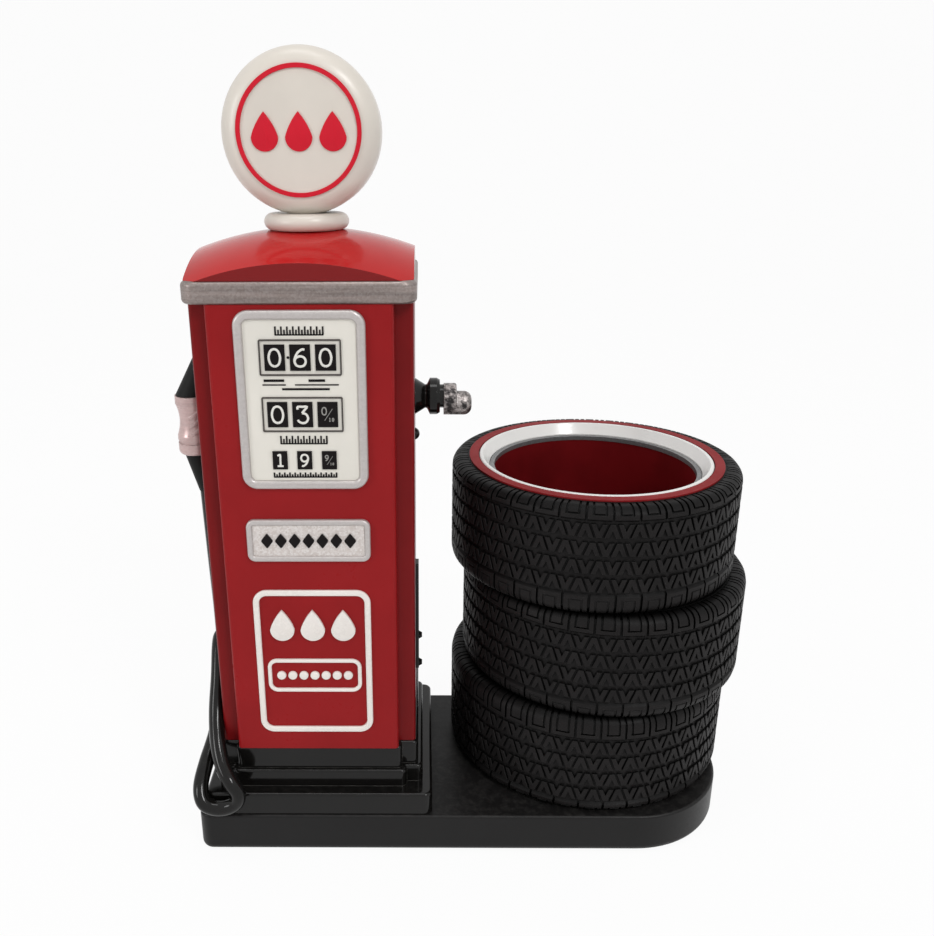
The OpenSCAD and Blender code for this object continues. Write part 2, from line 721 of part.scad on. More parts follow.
module wheel_lip() color([0.45, 0.46, 0.47]) on_stack(stack_top - cup_drop) difference() {
    cylinder(h = 1.2, r = dish_r - clearance);
    translate([0, 0, -1]) cylinder(h = 4, r = cup_r - 0.1);
}

module pen_cup() color([0.35, 0.06, 0.07]) on_stack(base_top) difference() {
    cylinder(h = levels * tyre_h - cup_drop, r = cup_r + cup_wall);
    translate([0, 0, cup_floor]) cylinder(h = levels * tyre_h, r = cup_r);
}

felt_sheet();
base_plate();
plinth();
cabinet();
front_panel();
rear_panel();
trim_band();
roof();
globe_collar();
globe();
globe_ring();
dial_rim();
dial_face();
sale_frame();
sale_drums();
volume_frame();
volume_drums();
price_drums();
grade_frame();
grade_face();
door_outline();
label_outline();
nozzle_guard();
nozzle_body();
nozzle_grip();
hose();
hose_union();
crank_hub();
crank_handle();
side_button();
side_rail();
tyre_bottom();
tyre_middle();
tyre_top();
tread_bottom();
tread_middle();
tread_top();
side_stripe();
wheel_flange();
wheel_lip();
pen_cup();
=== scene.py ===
"""Desk organiser: a vintage fuel pump beside a stack of three tyres that holds pens.

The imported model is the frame. The operators below paint its nodes, model the
tyres, the hose, the prints and the raised signs on it, and build the studio.
"""

import json
import math

import bmesh
import bpy
from mathutils import Matrix, Vector


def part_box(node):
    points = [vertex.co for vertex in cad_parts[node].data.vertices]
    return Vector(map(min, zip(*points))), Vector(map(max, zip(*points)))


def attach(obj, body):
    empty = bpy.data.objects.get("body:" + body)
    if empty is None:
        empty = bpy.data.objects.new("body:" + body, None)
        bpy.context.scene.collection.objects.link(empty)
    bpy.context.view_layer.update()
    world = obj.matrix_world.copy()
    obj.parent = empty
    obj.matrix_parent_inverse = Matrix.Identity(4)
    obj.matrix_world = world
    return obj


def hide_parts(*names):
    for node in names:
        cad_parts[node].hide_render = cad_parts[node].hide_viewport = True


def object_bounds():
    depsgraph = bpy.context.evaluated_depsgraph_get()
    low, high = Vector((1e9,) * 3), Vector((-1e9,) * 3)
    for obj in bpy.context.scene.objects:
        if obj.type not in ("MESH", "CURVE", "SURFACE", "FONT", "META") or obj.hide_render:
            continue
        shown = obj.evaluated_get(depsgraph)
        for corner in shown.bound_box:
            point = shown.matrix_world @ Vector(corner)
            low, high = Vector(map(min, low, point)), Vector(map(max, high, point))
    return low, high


bl_info = {
    "name": "Fuel pump desk organiser",
    "version": (1, 0, 0),
    "blender": (4, 5, 0),
    "location": "View3D > Sidebar > Organiser",
    "description": "Paints a desk organiser and models its tyres, hose, prints and signs",
    "category": "Object",
}

MM = 0.001
TINY = 1e-6
WELD = 0.01 * MM
SMOOTH_ANGLE = math.radians(32)

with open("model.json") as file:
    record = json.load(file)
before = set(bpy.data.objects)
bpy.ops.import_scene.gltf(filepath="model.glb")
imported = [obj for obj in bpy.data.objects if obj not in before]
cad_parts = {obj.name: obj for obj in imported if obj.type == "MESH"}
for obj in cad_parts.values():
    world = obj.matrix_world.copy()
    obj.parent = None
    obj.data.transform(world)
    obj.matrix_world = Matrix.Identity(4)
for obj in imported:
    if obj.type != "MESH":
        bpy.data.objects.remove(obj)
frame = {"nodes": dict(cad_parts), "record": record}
cad_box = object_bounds()
slot_of_node = {part["node"]: part["material_slot"] for part in frame["record"]["subparts"]}


def paint(red, green, blue):
    """A display colour, 0 to 255 a channel, as scene-linear RGBA."""
    channels = [value / 255 for value in (red, green, blue)]
    linear = [c / 12.92 if c <= 0.04045 else ((c + 0.055) / 1.055) ** 2.4 for c in channels]
    return (*linear, 1.0)


def low(node):
    return Vector(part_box(node)[0])


def high(node):
    return Vector(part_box(node)[1])


def middle(node):
    return (low(node) + high(node)) / 2


# ---- Settings ----

# From the foot of the front panel's middle line, at the level of the base's top, to the camera
CAMERA_REACH = Vector((24.7, -180.46, 150.48)) * MM
CAMERA_PLACE = CAMERA_REACH + Vector(
    (middle("front_panel").x, low("front_panel").y, high("base_plate").z)
)


def number(name, description, default, smallest=0.0, **settings):
    return bpy.props.FloatProperty(
        name=name, description=description, default=default, min=smallest, **settings
    )


def length(name, description, millimetres):
    return number(name, description, millimetres * MM, unit="LENGTH", precision=5)


def angle(name, description, degrees):
    return number(name, description, math.radians(degrees), -math.pi, unit="ROTATION")


def share(name, description, default):
    return number(name, description, default, max=1.0, subtype="FACTOR")


def power(name, description, default):
    return number(name, description, default, unit="POWER")


def colour(name, description, default):
    return bpy.props.FloatVectorProperty(
        name=name, description=description, default=default,
        size=4, min=0.0, max=1.0, subtype="COLOR",
    )


class OrganiserPrints(bpy.types.PropertyGroup):
    """Sizes of the prints, the figures, the raised signs and the hose."""

    print_rise: length("Print rise", "Thickness of a flat print", 0.12)
    numeral_height: length("Numeral height", "Height of the numerals in the upper rows", 4.15)
    numeral_width: length("Numeral width", "Width of the numerals in the upper rows", 2.9)
    price_height: length("Price height", "Height of the numerals in the lowest row", 3.05)
    price_width: length("Price width", "Width of the numerals in the lowest row", 2.0)
    stroke: length("Stroke", "Width of the numerals' strokes", 0.56)
    rule_width: length("Rule width", "Width of the dial's thin rules", 0.26)
    drop_width: length("Drop width", "Width of one drop on the globe and the door", 5.5)
    drop_height: length("Drop height", "Height of one drop on the globe and the door", 7.6)
    drop_pitch: length("Drop pitch", "Distance between drops", 6.9)
    sign_rise: length("Sign rise", "Height of the door's raised signs", 0.75)
    stud_size: length("Stud size", "Diameter of a stud on the small label", 2.1)
    lozenge_width: length("Lozenge width", "Width of a lozenge on the grade plate", 2.7)
    lozenge_height: length("Lozenge height", "Height of a lozenge on the grade plate", 3.6)
    hose_radius: length("Hose radius", "Radius of the hose", 1.85)


class OrganiserTyres(bpy.types.PropertyGroup):
    """Sizes of the tyres' tread and shoulder blocks."""

    blocks: bpy.props.IntProperty(
        name="Blocks", description="Number of shoulder blocks round a tyre",
        default=38, min=12, max=60,
    )
    phase: angle("Phase", "Angle of the first slot from the front", 6.2)
    depth: length("Depth", "Depth of the grooves", 0.6)
    row_pitch: length("Row pitch", "Distance between rows of tread", 4.38)
    row_height: length("Row height", "Height of one row of tread", 3.3)
    row_turn: angle("Row turn", "How far each row is turned from the row above", 2.75)
    shoulder: length("Shoulder", "Radius of the rounded shoulders", 2.4)
    block_reach: length("Block reach", "How far the blocks run in over the side wall", 4.0)
    block_rim: length("Block rim", "Height of a block's rim below its cross groove", 0.85)
    cross_groove: length("Cross groove", "Height of the groove across a block", 0.4)
    thickness: length("Thickness", "Thickness of a shoulder block", 0.6)
    bore_in: length("Bore", "From the tread in to the bore", 5.1)
    cup_gap: length("Cup gap", "Clearance between the top tyre and the cup", 0.3)


class OrganiserPaints(bpy.types.PropertyGroup):
    """Colours of the finishes, and their edges' wear and painted highlight."""

    red: colour("Pump red", "Enamel of the cabinet's panels", paint(146, 25, 28))
    roof_red: colour("Roof red", "Enamel of the roof", paint(184, 32, 32))
    black: colour("Gloss black", "Paint of the plinth, hose and fittings", paint(17, 16, 15))
    base: colour("Base black", "Satin paint of the base", paint(22, 21, 21))
    # Silver paint, tinted pink as a painted reflection of the red around it
    silver: colour("Silver", "Paint of the band, the plates and the nozzle", paint(146, 133, 128))
    white: colour("Globe white", "Enamel of the globe", paint(216, 209, 199))
    face: colour("Dial white", "Paint of the dial's face", paint(226, 222, 213))
    crimson: colour("Crimson", "Print on the globe", paint(205, 22, 44))
    tyre: colour("Tyre black", "Paint of the tyres", paint(27, 25, 25))
    stripe: colour("Stripe red", "Stripe on the side wall", paint(142, 33, 36))
    cup: colour("Cup maroon", "Paint inside the cup", paint(112, 18, 22))
    # How far the edges of the pump reds and the base lighten: partly wear, partly a painted
    # highlight
    wear_and_highlight: share("Edge wear", "How far the paint thins along its edges", 0.35)


class OrganiserStudio(bpy.types.PropertyGroup):
    """The lamps and the camera."""

    key: power("Key", "Power of the large lamp above on the right", 3.2)
    fill: power("Fill", "Power of the lamp on the left", 1.45)
    top: power("Top", "Power of the lamp overhead", 1.15)
    ambient: number("Ambient", "Brightness of the room", 0.55)
    lens: number("Lens", "Focal length of the camera in millimetres", 34.7, 1.0)
    shift: number("Shift", "Sideways shift of the lens, as a share of the frame", 0.0588, -1.0)
    place: bpy.props.FloatVectorProperty(
        name="Camera place", description="Where the camera stands",
        default=CAMERA_PLACE, subtype="TRANSLATION", unit="LENGTH",
    )
    tilt: angle("Tilt", "How far the camera looks down", 19.38)
    turn: angle("Turn", "How far the camera turns left", 0.669)
    roll: angle("Roll", "How far the camera leans", -0.286)


# ---- Modelling helpers ----


def make_active(obj):
    if bpy.context.object and bpy.context.object.mode != "OBJECT":
        bpy.ops.object.mode_set(mode="OBJECT")
    bpy.ops.object.select_all(action="DESELECT")
    obj.select_set(True)
    bpy.context.view_layer.objects.active = obj


def apply_place(obj):
    make_active(obj)
    bpy.ops.object.transform_apply(location=True, rotation=True, scale=True)


def start_editing(obj):
    make_active(obj)
    bpy.ops.object.mode_set(mode="EDIT")


def stop_editing():
    bpy.ops.object.mode_set(mode="OBJECT")


def select_mesh():
    bpy.ops.mesh.select_all(action="SELECT")


def turn_normals_outward():
    select_mesh()
    bpy.ops.mesh.normals_make_consistent(inside=False)


def extrude(shift):
    bpy.ops.mesh.extrude_region_move(TRANSFORM_OT_translate={"value": shift})


def new_object(operator, **settings):
    """Runs one of Blender's operators that add an object, and returns the object."""
    bpy.ops.object.select_all(action="DESELECT")
    operator(**settings)
    return bpy.context.object


def pick(obj, kind, test):
    """Selects the vertices, edges or faces that pass the test, and says how many."""
    bpy.ops.mesh.select_mode(type=kind)
    bpy.ops.mesh.select_all(action="DESELECT")
    mesh = bmesh.from_edit_mesh(obj.data)
    parts = {"VERT": mesh.verts, "EDGE": mesh.edges, "FACE": mesh.faces}[kind]
    chosen = [part for part in parts if test(part)]
    for part in chosen:
        part.select_set(True)
    mesh.select_flush_mode()
    bmesh.update_edit_mesh(obj.data)
    return len(chosen)


def raise_outline(obj, rise, soft, segments=2):
    """Thickens a flat outline towards the front and rounds its front edge."""
    apply_place(obj)
    start_editing(obj)
    select_mesh()
    extrude((0, -rise, 0))
    turn_normals_outward()
    front = min(corner.co.y for corner in bmesh.from_edit_mesh(obj.data).verts) + TINY

    def rounded(edge):
        return all(v.co.y < front for v in edge.verts) and edge.calc_face_angle(0) > 1

    if soft > 0:
        pick(obj, "EDGE", rounded)
        bpy.ops.mesh.bevel(offset=soft, segments=segments, profile=0.5, clamp_overlap=True)
    stop_editing()
    return obj


def copy_to(obj, matrix):
    make_active(obj)
    bpy.ops.object.duplicate(linked=False)
    copy = bpy.context.object
    copy.matrix_world = matrix @ copy.matrix_world
    return copy


def repeat_in_row(obj, pitch, steps):
    """Copies a modelled piece sideways by each number of steps and joins the copies to it."""
    return join([obj, *[copy_to(obj, Matrix.Translation((k * pitch, 0, 0))) for k in steps]])


def turned(axis, by):
    """A turn about an upright axis."""
    return Matrix.Translation(axis) @ Matrix.Rotation(by, 4, "Z") @ Matrix.Translation(-axis)


def chain(points):
    """A line of edges through the points, drawn by extruding one corner; ends in edit mode."""
    obj = new_object(bpy.ops.mesh.primitive_plane_add, size=0.1 * MM, location=points[0])
    apply_place(obj)
    start_editing(obj)
    bpy.ops.mesh.select_mode(type="VERT")
    select_mesh()
    bpy.ops.mesh.merge(type="CENTER")
    for here, there in zip(points, points[1:]):
        extrude(there - here)
    return obj


def lathe(axis, outline, corners):
    """A closed ring: a circle swept through the (radius, height) points of its outline."""
    radius, height = outline[0]
    obj = new_object(
        bpy.ops.mesh.primitive_circle_add,
        vertices=corners, radius=radius, location=(axis.x, axis.y, height), fill_type="NOTHING",
    )
    apply_place(obj)
    start_editing(obj)
    select_mesh()
    for wide, tall in [*outline[1:], outline[0]]:
        extrude((0, 0, tall - height))
        factor = wide / radius
        bpy.ops.transform.resize(
            value=(factor, factor, 1), center_override=(axis.x, axis.y, tall)
        )
        radius, height = wide, tall
    select_mesh()
    bpy.ops.mesh.remove_doubles(threshold=WELD)
    turn_normals_outward()
    stop_editing()
    return obj


def smooth_route(points, steps):
    """Points on a Catmull-Rom curve through the given ones."""
    route = []
    last = len(points) - 1
    for i in range(last):
        a, b, c, d = (points[max(0, min(last, i + k))] for k in (-1, 0, 1, 2))
        for step in range(steps):
            t = step / steps
            bend = 2 * a - 5 * b + 4 * c - d
            sway = 3 * b - a - 3 * c + d
            route.append(0.5 * (2 * b + t * (c - a) + t * t * bend + t**3 * sway))
    return [*route, points[last]]


def tube(name, lines, radius, roundness):
    """A mesh tube with closed ends along each line of points."""
    curve = bpy.data.curves.new(name, "CURVE")
    curve.dimensions = "3D"
    curve.bevel_depth = radius
    curve.bevel_resolution = roundness
    curve.use_fill_caps = True
    for points in lines:
        spline = curve.splines.new("POLY")
        spline.points.add(len(points) - 1)
        for knot, point in zip(spline.points, points):
            knot.co = (*point, 1)
    obj = bpy.data.objects.new(name, curve)
    bpy.context.collection.objects.link(obj)
    make_active(obj)
    bpy.ops.object.convert(target="MESH")
    return bpy.context.object


def join(objects):
    make_active(objects[0])
    for obj in objects:
        obj.select_set(True)
    bpy.ops.object.join()
    apply_place(objects[0])
    return objects[0]


def settle(obj, name, slot, finish=None, stands_for=()):
    """Names a finished piece, paints it and ties it to the body."""
    apply_place(obj)
    bpy.ops.object.shade_smooth_by_angle(angle=SMOOTH_ANGLE)
    obj.name = name
    obj.data.name = name
    obj.data.materials.clear()
    obj.data.materials.append(bpy.data.materials[finish or slot])
    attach(obj, "root")
    if stands_for:
        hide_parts(*stands_for)


# Turns a flat shape to face the front
UPRIGHT = (math.radians(90), 0, 0)


def flat_disc(centre, radius, corners):
    obj = new_object(
        bpy.ops.mesh.primitive_circle_add,
        vertices=corners, radius=radius, fill_type="NGON", location=centre, rotation=UPRIGHT,
    )
    apply_place(obj)
    return obj


def bar(centre, width, height, rise):
    """A raised bar on an upright face; centre lies on that face."""
    obj = new_object(
        bpy.ops.mesh.primitive_plane_add, size=1, location=centre, rotation=UPRIGHT
    )
    obj.scale = (width, height, 1)
    return raise_outline(obj, rise, 0)


# How fast a drop narrows to its tip: 1 is a straight cone, less is rounder
DROP_TAPER = 0.45


def drop(centre, width, height, rise, soft):
    """A fuel drop: a disc whose upper half is drawn out to a tip."""
    radius = width / 2
    heart = Vector(centre) - Vector((0, 0, height / 2 - radius))
    obj = flat_disc(heart, radius, 40)
    start_editing(obj)
    pick(obj, "VERT", lambda v: v.co.z > heart.z + TINY)
    bpy.ops.transform.resize(value=(1, 1, (height - radius) / radius), center_override=heart)
    corners = bmesh.from_edit_mesh(obj.data).verts
    levels = sorted({round(v.co.z, 6) for v in corners if v.co.z > heart.z + TINY})
    for level in levels[:-1]:
        t = (level - heart.z) / (height - radius)
        pick(obj, "VERT", lambda v, z=level: abs(v.co.z - z) < 2 * TINY)
        bpy.ops.transform.resize(
            value=((1 - t) ** DROP_TAPER, 1, 1), center_override=(heart.x, heart.y, level)
        )
    stop_editing()
    return raise_outline(obj, rise, soft, 3)


# Strokes of the figures, in shares of a figure's width and height from its middle
FIGURE_STROKES = {
    "0": [
        [(0, -0.5), (0.34, -0.38), (0.5, 0), (0.34, 0.38), (0, 0.5), (-0.34, 0.38), (-0.5, 0),
         (-0.34, -0.38), (0, -0.5)],
    ],
    "1": [
        [(-0.32, 0.4), (0.04, 0.49), (0.04, 0), (0.04, -0.49)],
        [(-0.38, -0.49), (0, -0.49), (0.45, -0.49)],
    ],
    "3": [
        [(-0.42, 0.32), (-0.4, 0.48), (0, 0.48), (0.42, 0.48), (0.18, 0.28), (-0.04, 0.1)],
        [(-0.04, 0.1), (0.3, 0.04), (0.48, -0.2), (0.32, -0.43), (0, -0.5), (-0.32, -0.42),
         (-0.44, -0.3)],
    ],
    "6": [
        [(0.42, 0.46), (0.2, 0.48), (-0.16, 0.32), (-0.4, 0.06), (-0.49, -0.2), (-0.34, -0.43),
         (0, -0.5), (0.34, -0.43), (0.49, -0.2), (0.34, 0.02), (0, 0.09), (-0.34, 0),
         (-0.48, -0.16)],
    ],
}
FIGURE_STROKES["9"] = [[(-x, -z) for x, z in stroke] for stroke in FIGURE_STROKES["6"]]


def figure(text, centre, height, width, stroke, rise):
    """A figure of round strokes in relief on an upright face; centre lies on that face."""
    across, along = width - stroke, height - stroke
    lines = [
        smooth_route([Vector((x * across, 0, z * along)) for x, z in line], 3)
        for line in FIGURE_STROKES[text]
    ]
    obj = tube("figure", lines, stroke / 2, 1)
    obj.scale = (1, rise * 2 / stroke, 1)
    obj.location = centre
    apply_place(obj)
    start_editing(obj)
    turn_normals_outward()
    stop_editing()
    return obj


# ---- Shader groups ----


def wire(tree, node, wires):
    """Joins a node's inputs to other nodes' outputs, or sets them to values."""
    for name, source in wires.items():
        if isinstance(source, bpy.types.NodeSocket):
            tree.links.new(source, node.inputs[name])
        else:
            node.inputs[name].default_value = source


def add(tree, kind, wires=None, **values):
    """Adds a node with its values and inputs."""
    node = tree.nodes.new(kind)
    for name, value in values.items():
        setattr(node, name, value)
    wire(tree, node, wires or {})
    return node


def maths(tree, operation, first, second, clamp=False):
    wires = {0: first, 1: second}
    return add(tree, "ShaderNodeMath", wires, operation=operation, use_clamp=clamp).outputs[0]


def times(tree, first, second, clamp=False):
    return maths(tree, "MULTIPLY", first, second, clamp)


def plus(tree, first, second, clamp=False):
    return maths(tree, "ADD", first, second, clamp)


def minus(tree, first, second):
    return maths(tree, "SUBTRACT", first, second)


def noise(tree, vector, scale, detail=2.0, roughness=0.5):
    wires = {"Vector": vector, "Scale": scale, "Detail": detail, "Roughness": roughness}
    return add(tree, "ShaderNodeTexNoise", wires).outputs["Fac"]


def remap(tree, value, low_in, high_in, low_out=0.0, high_out=1.0):
    """Stretches the values from low_in to high_in over low_out to high_out."""
    wires = {
        "Value": value, "From Min": low_in, "From Max": high_in,
        "To Min": low_out, "To Max": high_out,
    }
    return add(tree, "ShaderNodeMapRange", wires).outputs[0]


def mix_colour(tree, factor, first, second):
    wires = {0: factor, 6: first, 7: second}
    return add(tree, "ShaderNodeMix", wires, data_type="RGBA").outputs[2]


def object_place(tree):
    return add(tree, "ShaderNodeTexCoord").outputs["Object"]


def surface_normal(tree):
    return add(tree, "ShaderNodeNewGeometry").outputs["Normal"]


def one_axis(tree, vector, axis):
    return add(tree, "ShaderNodeSeparateXYZ", {0: vector}).outputs[axis]


def seen_directly(tree):
    """1 where the camera sees a surface, straight or in gloss or glass, and 0 where light does."""
    path = add(tree, "ShaderNodeLightPath").outputs
    seen = plus(tree, path["Is Camera Ray"], path["Is Glossy Ray"])
    return plus(tree, seen, path["Is Transmission Ray"], clamp=True)


# The sockets of the groups that aren't plain numbers
SOCKET_KINDS = {
    "Color": "NodeSocketColor",
    "Shade": "NodeSocketColor",
    "Normal": "NodeSocketVector",
    "Stretch": "NodeSocketVector",
}


def new_group(name, inputs, outputs):
    """A shader group with named inputs and outputs."""
    tree = bpy.data.node_groups.new(name, "ShaderNodeTree")
    for way, labels in (("INPUT", inputs), ("OUTPUT", outputs)):
        for label in labels:
            kind = SOCKET_KINDS.get(label, "NodeSocketFloat")
            tree.interface.new_socket(name=label, in_out=way, socket_type=kind)
    given = tree.nodes.new("NodeGroupInput").outputs
    return tree, given, tree.nodes.new("NodeGroupOutput")


def build_cast_paint():
    """Sprayed paint over cast resin: soft clouds of shade, orange peel and uneven gloss."""
    tree, given, out = new_group(
        "cast_paint",
        ("Color", "Shade", "Cloud Scale", "Peel Scale", "Roughness", "Spread"),
        ("Color", "Roughness", "Height"),
    )
    place = object_place(tree)
    cloud = noise(tree, place, given["Cloud Scale"], detail=4.0, roughness=0.55)
    peel = noise(tree, place, given["Peel Scale"], detail=2.0, roughness=0.6)
    mask = remap(tree, cloud, 0.38, 0.66)
    offset = times(tree, minus(tree, cloud, 0.5), given["Spread"])
    fine = times(tree, minus(tree, peel, 0.5), given["Spread"])
    rough = plus(tree, plus(tree, given["Roughness"], offset), fine, clamp=True)
    wire(tree, out, {
        "Color": mix_colour(tree, mask, given["Color"], given["Shade"]),
        "Roughness": rough,
        "Height": plus(tree, times(tree, cloud, 0.6), peel),
    })


def build_edge_wear():
    """A broken mask along sharp edges, for wear and painted highlight, and their softened normal.
    """
    tree, given, out = new_group(
        "edge_wear", ("Radius", "Reach", "Break Scale"), ("Mask", "Normal")
    )
    bevel = add(tree, "ShaderNodeBevel", {"Radius": given["Radius"]}, samples=6).outputs[0]
    wires = {0: bevel, 1: surface_normal(tree)}
    facing = add(tree, "ShaderNodeVectorMath", wires, operation="DOT_PRODUCT").outputs["Value"]
    bend = times(tree, minus(tree, 1.0, facing), given["Reach"], clamp=True)
    breaks = noise(tree, object_place(tree), given["Break Scale"], detail=3.0, roughness=0.6)
    mask = times(tree, bend, remap(tree, breaks, 0.35, 0.62), clamp=True)
    wire(tree, out, {"Mask": mask, "Normal": bevel})


def build_dust():
    """Dust that settles on what faces up."""
    tree, given, out = new_group("dust", ("Amount", "Scale"), ("Mask",))
    up = one_axis(tree, surface_normal(tree), "Z")
    specks = noise(tree, object_place(tree), given["Scale"], detail=4.0, roughness=0.7)
    settled = times(tree, remap(tree, up, 0.3, 1.0), remap(tree, specks, 0.45, 0.8))
    wire(tree, out, {"Mask": times(tree, settled, given["Amount"], clamp=True)})


def build_uprights():
    """Tells upright faces from those that face up, for painted shade."""
    tree, given, out = new_group("uprights", ("Low", "High"), ("Mask",))
    up = one_axis(tree, surface_normal(tree), "Z")
    wire(tree, out, {"Mask": remap(tree, up, given["Low"], given["High"], 1.0, 0.0)})


def build_groove_shade():
    """How deep a place lies between its neighbours, for painted shade in grooves."""
    tree, given, out = new_group("hollows", ("Distance", "Depth"), ("Mask",))
    wires = {"Distance": given["Distance"]}
    open_sky = add(tree, "ShaderNodeAmbientOcclusion", wires, samples=8).outputs["AO"]
    closed = remap(tree, open_sky, 0.4, 0.96, 1.0, 0.0)
    wire(tree, out, {"Mask": times(tree, closed, given["Depth"], clamp=True)})


def build_brush_marks():
    """Long fine streaks left by a brush, with metal flakes between them."""
    tree, given, out = new_group(
        "brush_marks", ("Stretch", "Flake Scale"), ("Mask", "Flakes")
    )
    place = object_place(tree)
    wires = {0: place, 1: given["Stretch"]}
    drawn = add(tree, "ShaderNodeVectorMath", wires, operation="MULTIPLY").outputs["Vector"]
    wires = {"Vector": place, "Scale": given["Flake Scale"]}
    cells = add(tree, "ShaderNodeTexVoronoi", wires).outputs["Color"]
    streaks = noise(tree, drawn, 1.0, detail=5.0, roughness=0.6)
    wire(tree, out, {"Mask": streaks, "Flakes": one_axis(tree, cells, "X")})


# ---- Finishes ----


WHITE = (1.0, 1.0, 1.0, 1.0)
RESIN = (0.012, 0.011, 0.012, 1.0)


def new_finish(name):
    material = bpy.data.materials.get(name) or bpy.data.materials.new(name)
    material.use_nodes = True
    tree = material.node_tree
    tree.nodes.clear()
    shader = add(tree, "ShaderNodeBsdfPrincipled")
    add(tree, "ShaderNodeOutputMaterial", {"Surface": shader.outputs[0]})
    return tree, shader


def group(tree, name, wires):
    return add(tree, "ShaderNodeGroup", wires, node_tree=bpy.data.node_groups[name]).outputs


def relief(tree, strength, distance, height, **normal):
    wires = {"Strength": strength, "Distance": distance, "Height": height, **normal}
    return add(tree, "ShaderNodeBump", wires).outputs[0]


def shade_of(tone, factor):
    return (*[channel * factor for channel in tone[:3]], 1.0)


def blend_of(first, second, factor):
    return (*[a + (b - a) * factor for a, b in zip(first[:3], second[:3])], 1.0)


def enamel(
    name, tone, rough=0.25, spread=0.1, shade=0.82, peel=900.0, cloud=60.0, specular=0.5,
    coat=0.0, coat_rough=0.08, bump=0.05, bump_depth=0.02 * MM, soft=0.15 * MM,
    worn_and_highlit=0.1, worn_and_highlit_tone=None, dust=0.0, dust_tone=(0.5, 0.48, 0.45, 1.0),
    upright_painted_shade=None, top_shade=1.0, hollow=0.0, groove_shade_reach=2.0 * MM,
):
    """Paint over cast resin, lighter along its edges, partly as thinner paint and partly as a
    painted highlight, and a little dusty on top.

    The upright tone is a painted shade on upright faces, top_shade paints shade on the
    faces that look up, and hollow paints shade in the grooves.
    """
    tree, shader = new_finish(name)
    body = group(tree, "cast_paint", {
        "Color": tone, "Shade": shade_of(tone, shade), "Cloud Scale": cloud,
        "Peel Scale": peel, "Roughness": rough, "Spread": spread,
    })
    # Edges lightened, partly as wear and partly as a painted highlight
    edge = group(tree, "edge_wear", {"Radius": soft, "Reach": 4.0, "Break Scale": 350.0})
    worn_and_highlit_tone = worn_and_highlit_tone or blend_of(tone, WHITE, 0.35)
    look = mix_colour(tree, times(tree, edge["Mask"], worn_and_highlit), body["Color"], worn_and_highlit_tone)
    settled = group(tree, "dust", {"Amount": dust, "Scale": 600.0})["Mask"]
    look = mix_colour(tree, settled, look, dust_tone)
    # Painted shade on the upright faces
    if upright_painted_shade:
        upright = group(tree, "uprights", {"Low": 0.12, "High": 0.3})["Mask"]
        look = mix_colour(tree, upright, look, upright_painted_shade)
    # Painted shade on the faces that look up
    if top_shade < 1:
        upright = group(tree, "uprights", {"Low": 0.3, "High": 0.8})["Mask"]
        look = mix_colour(tree, upright, shade_of(tone, top_shade), look)
    # Painted shade in the grooves and between stacked parts
    if hollow:
        depth = group(tree, "hollows", {"Distance": groove_shade_reach, "Depth": hollow})["Mask"]
        look = mix_colour(tree, depth, look, shade_of(tone, 0.06))
    wire(tree, shader, {
        "Base Color": look,
        "Roughness": plus(tree, body["Roughness"], times(tree, settled, 0.5), clamp=True),
        "Normal": relief(tree, bump, bump_depth, body["Height"], Normal=edge["Normal"]),
        "Specular IOR Level": specular,
        "Coat Weight": coat,
        "Coat Roughness": coat_rough,
    })


def silver(
    name, tone, rough=0.38, metal=0.75, stretch=(40.0, 40.0, 1400.0), streak=0.12, pits=0.0,
    flake=0.1, soft=0.2 * MM, bump=0.25, bump_depth=0.03 * MM,
):
    """Silver paint with flakes and brush marks; pits lets the dark resin show in hollows."""
    tree, shader = new_finish(name)
    marks = group(tree, "brush_marks", {"Stretch": stretch, "Flake Scale": 2600.0})
    streaks = remap(tree, marks["Mask"], 0.3, 0.7, 0.0, streak * 4)
    look = mix_colour(tree, streaks, tone, shade_of(tone, 0.6))
    flakes = times(tree, marks["Flakes"], flake)
    look = mix_colour(tree, flakes, look, blend_of(tone, WHITE, 0.7))
    cloud = noise(tree, object_place(tree), 520.0, detail=5.0, roughness=0.65)
    hollow = times(tree, remap(tree, cloud, 0.44, 0.6), pits, clamp=True)
    look = mix_colour(tree, hollow, look, RESIN)
    # Edges lightened, partly as wear and partly as a painted highlight
    edge = group(tree, "edge_wear", {"Radius": soft, "Reach": 4.0, "Break Scale": 500.0})
    worn_and_highlit = times(tree, edge["Mask"], 0.5)
    grain = plus(tree, marks["Mask"], times(tree, marks["Flakes"], 0.3))
    height = minus(tree, grain, hollow)
    wire(tree, shader, {
        "Base Color": mix_colour(tree, worn_and_highlit, look, blend_of(tone, WHITE, 0.6)),
        "Roughness": remap(tree, marks["Mask"], 0.2, 0.8, rough - 0.08, rough + 0.12),
        "Normal": relief(tree, bump, bump_depth, height, Normal=edge["Normal"]),
        "Metallic": metal,
    })


def felt(name, tone):
    tree, shader = new_finish(name)
    fibres = noise(tree, object_place(tree), 2400.0, detail=6.0, roughness=0.75)
    wire(tree, shader, {
        "Base Color": mix_colour(tree, fibres, shade_of(tone, 0.5), shade_of(tone, 1.8)),
        "Normal": relief(tree, 0.8, 0.15 * MM, fibres),
        "Roughness": 0.95,
    })


# The nodes whose finish isn't the one that their material slot is named after
SPECIAL_FINISHES = {
    "roof": "roof_red",
    "cabinet": "cabinet_red",
    "dial_rim": "silver_rim",
    "grade_frame": "silver_rim",
    "grade_face": "silver_grain",
    "crank_handle": "silver_cast",
    "sale_frame": "print_grey",
    "volume_frame": "print_grey",
    "nozzle_body": "silver_pale",
    "nozzle_guard": "matt_black",
    "nozzle_grip": "matt_black",
}


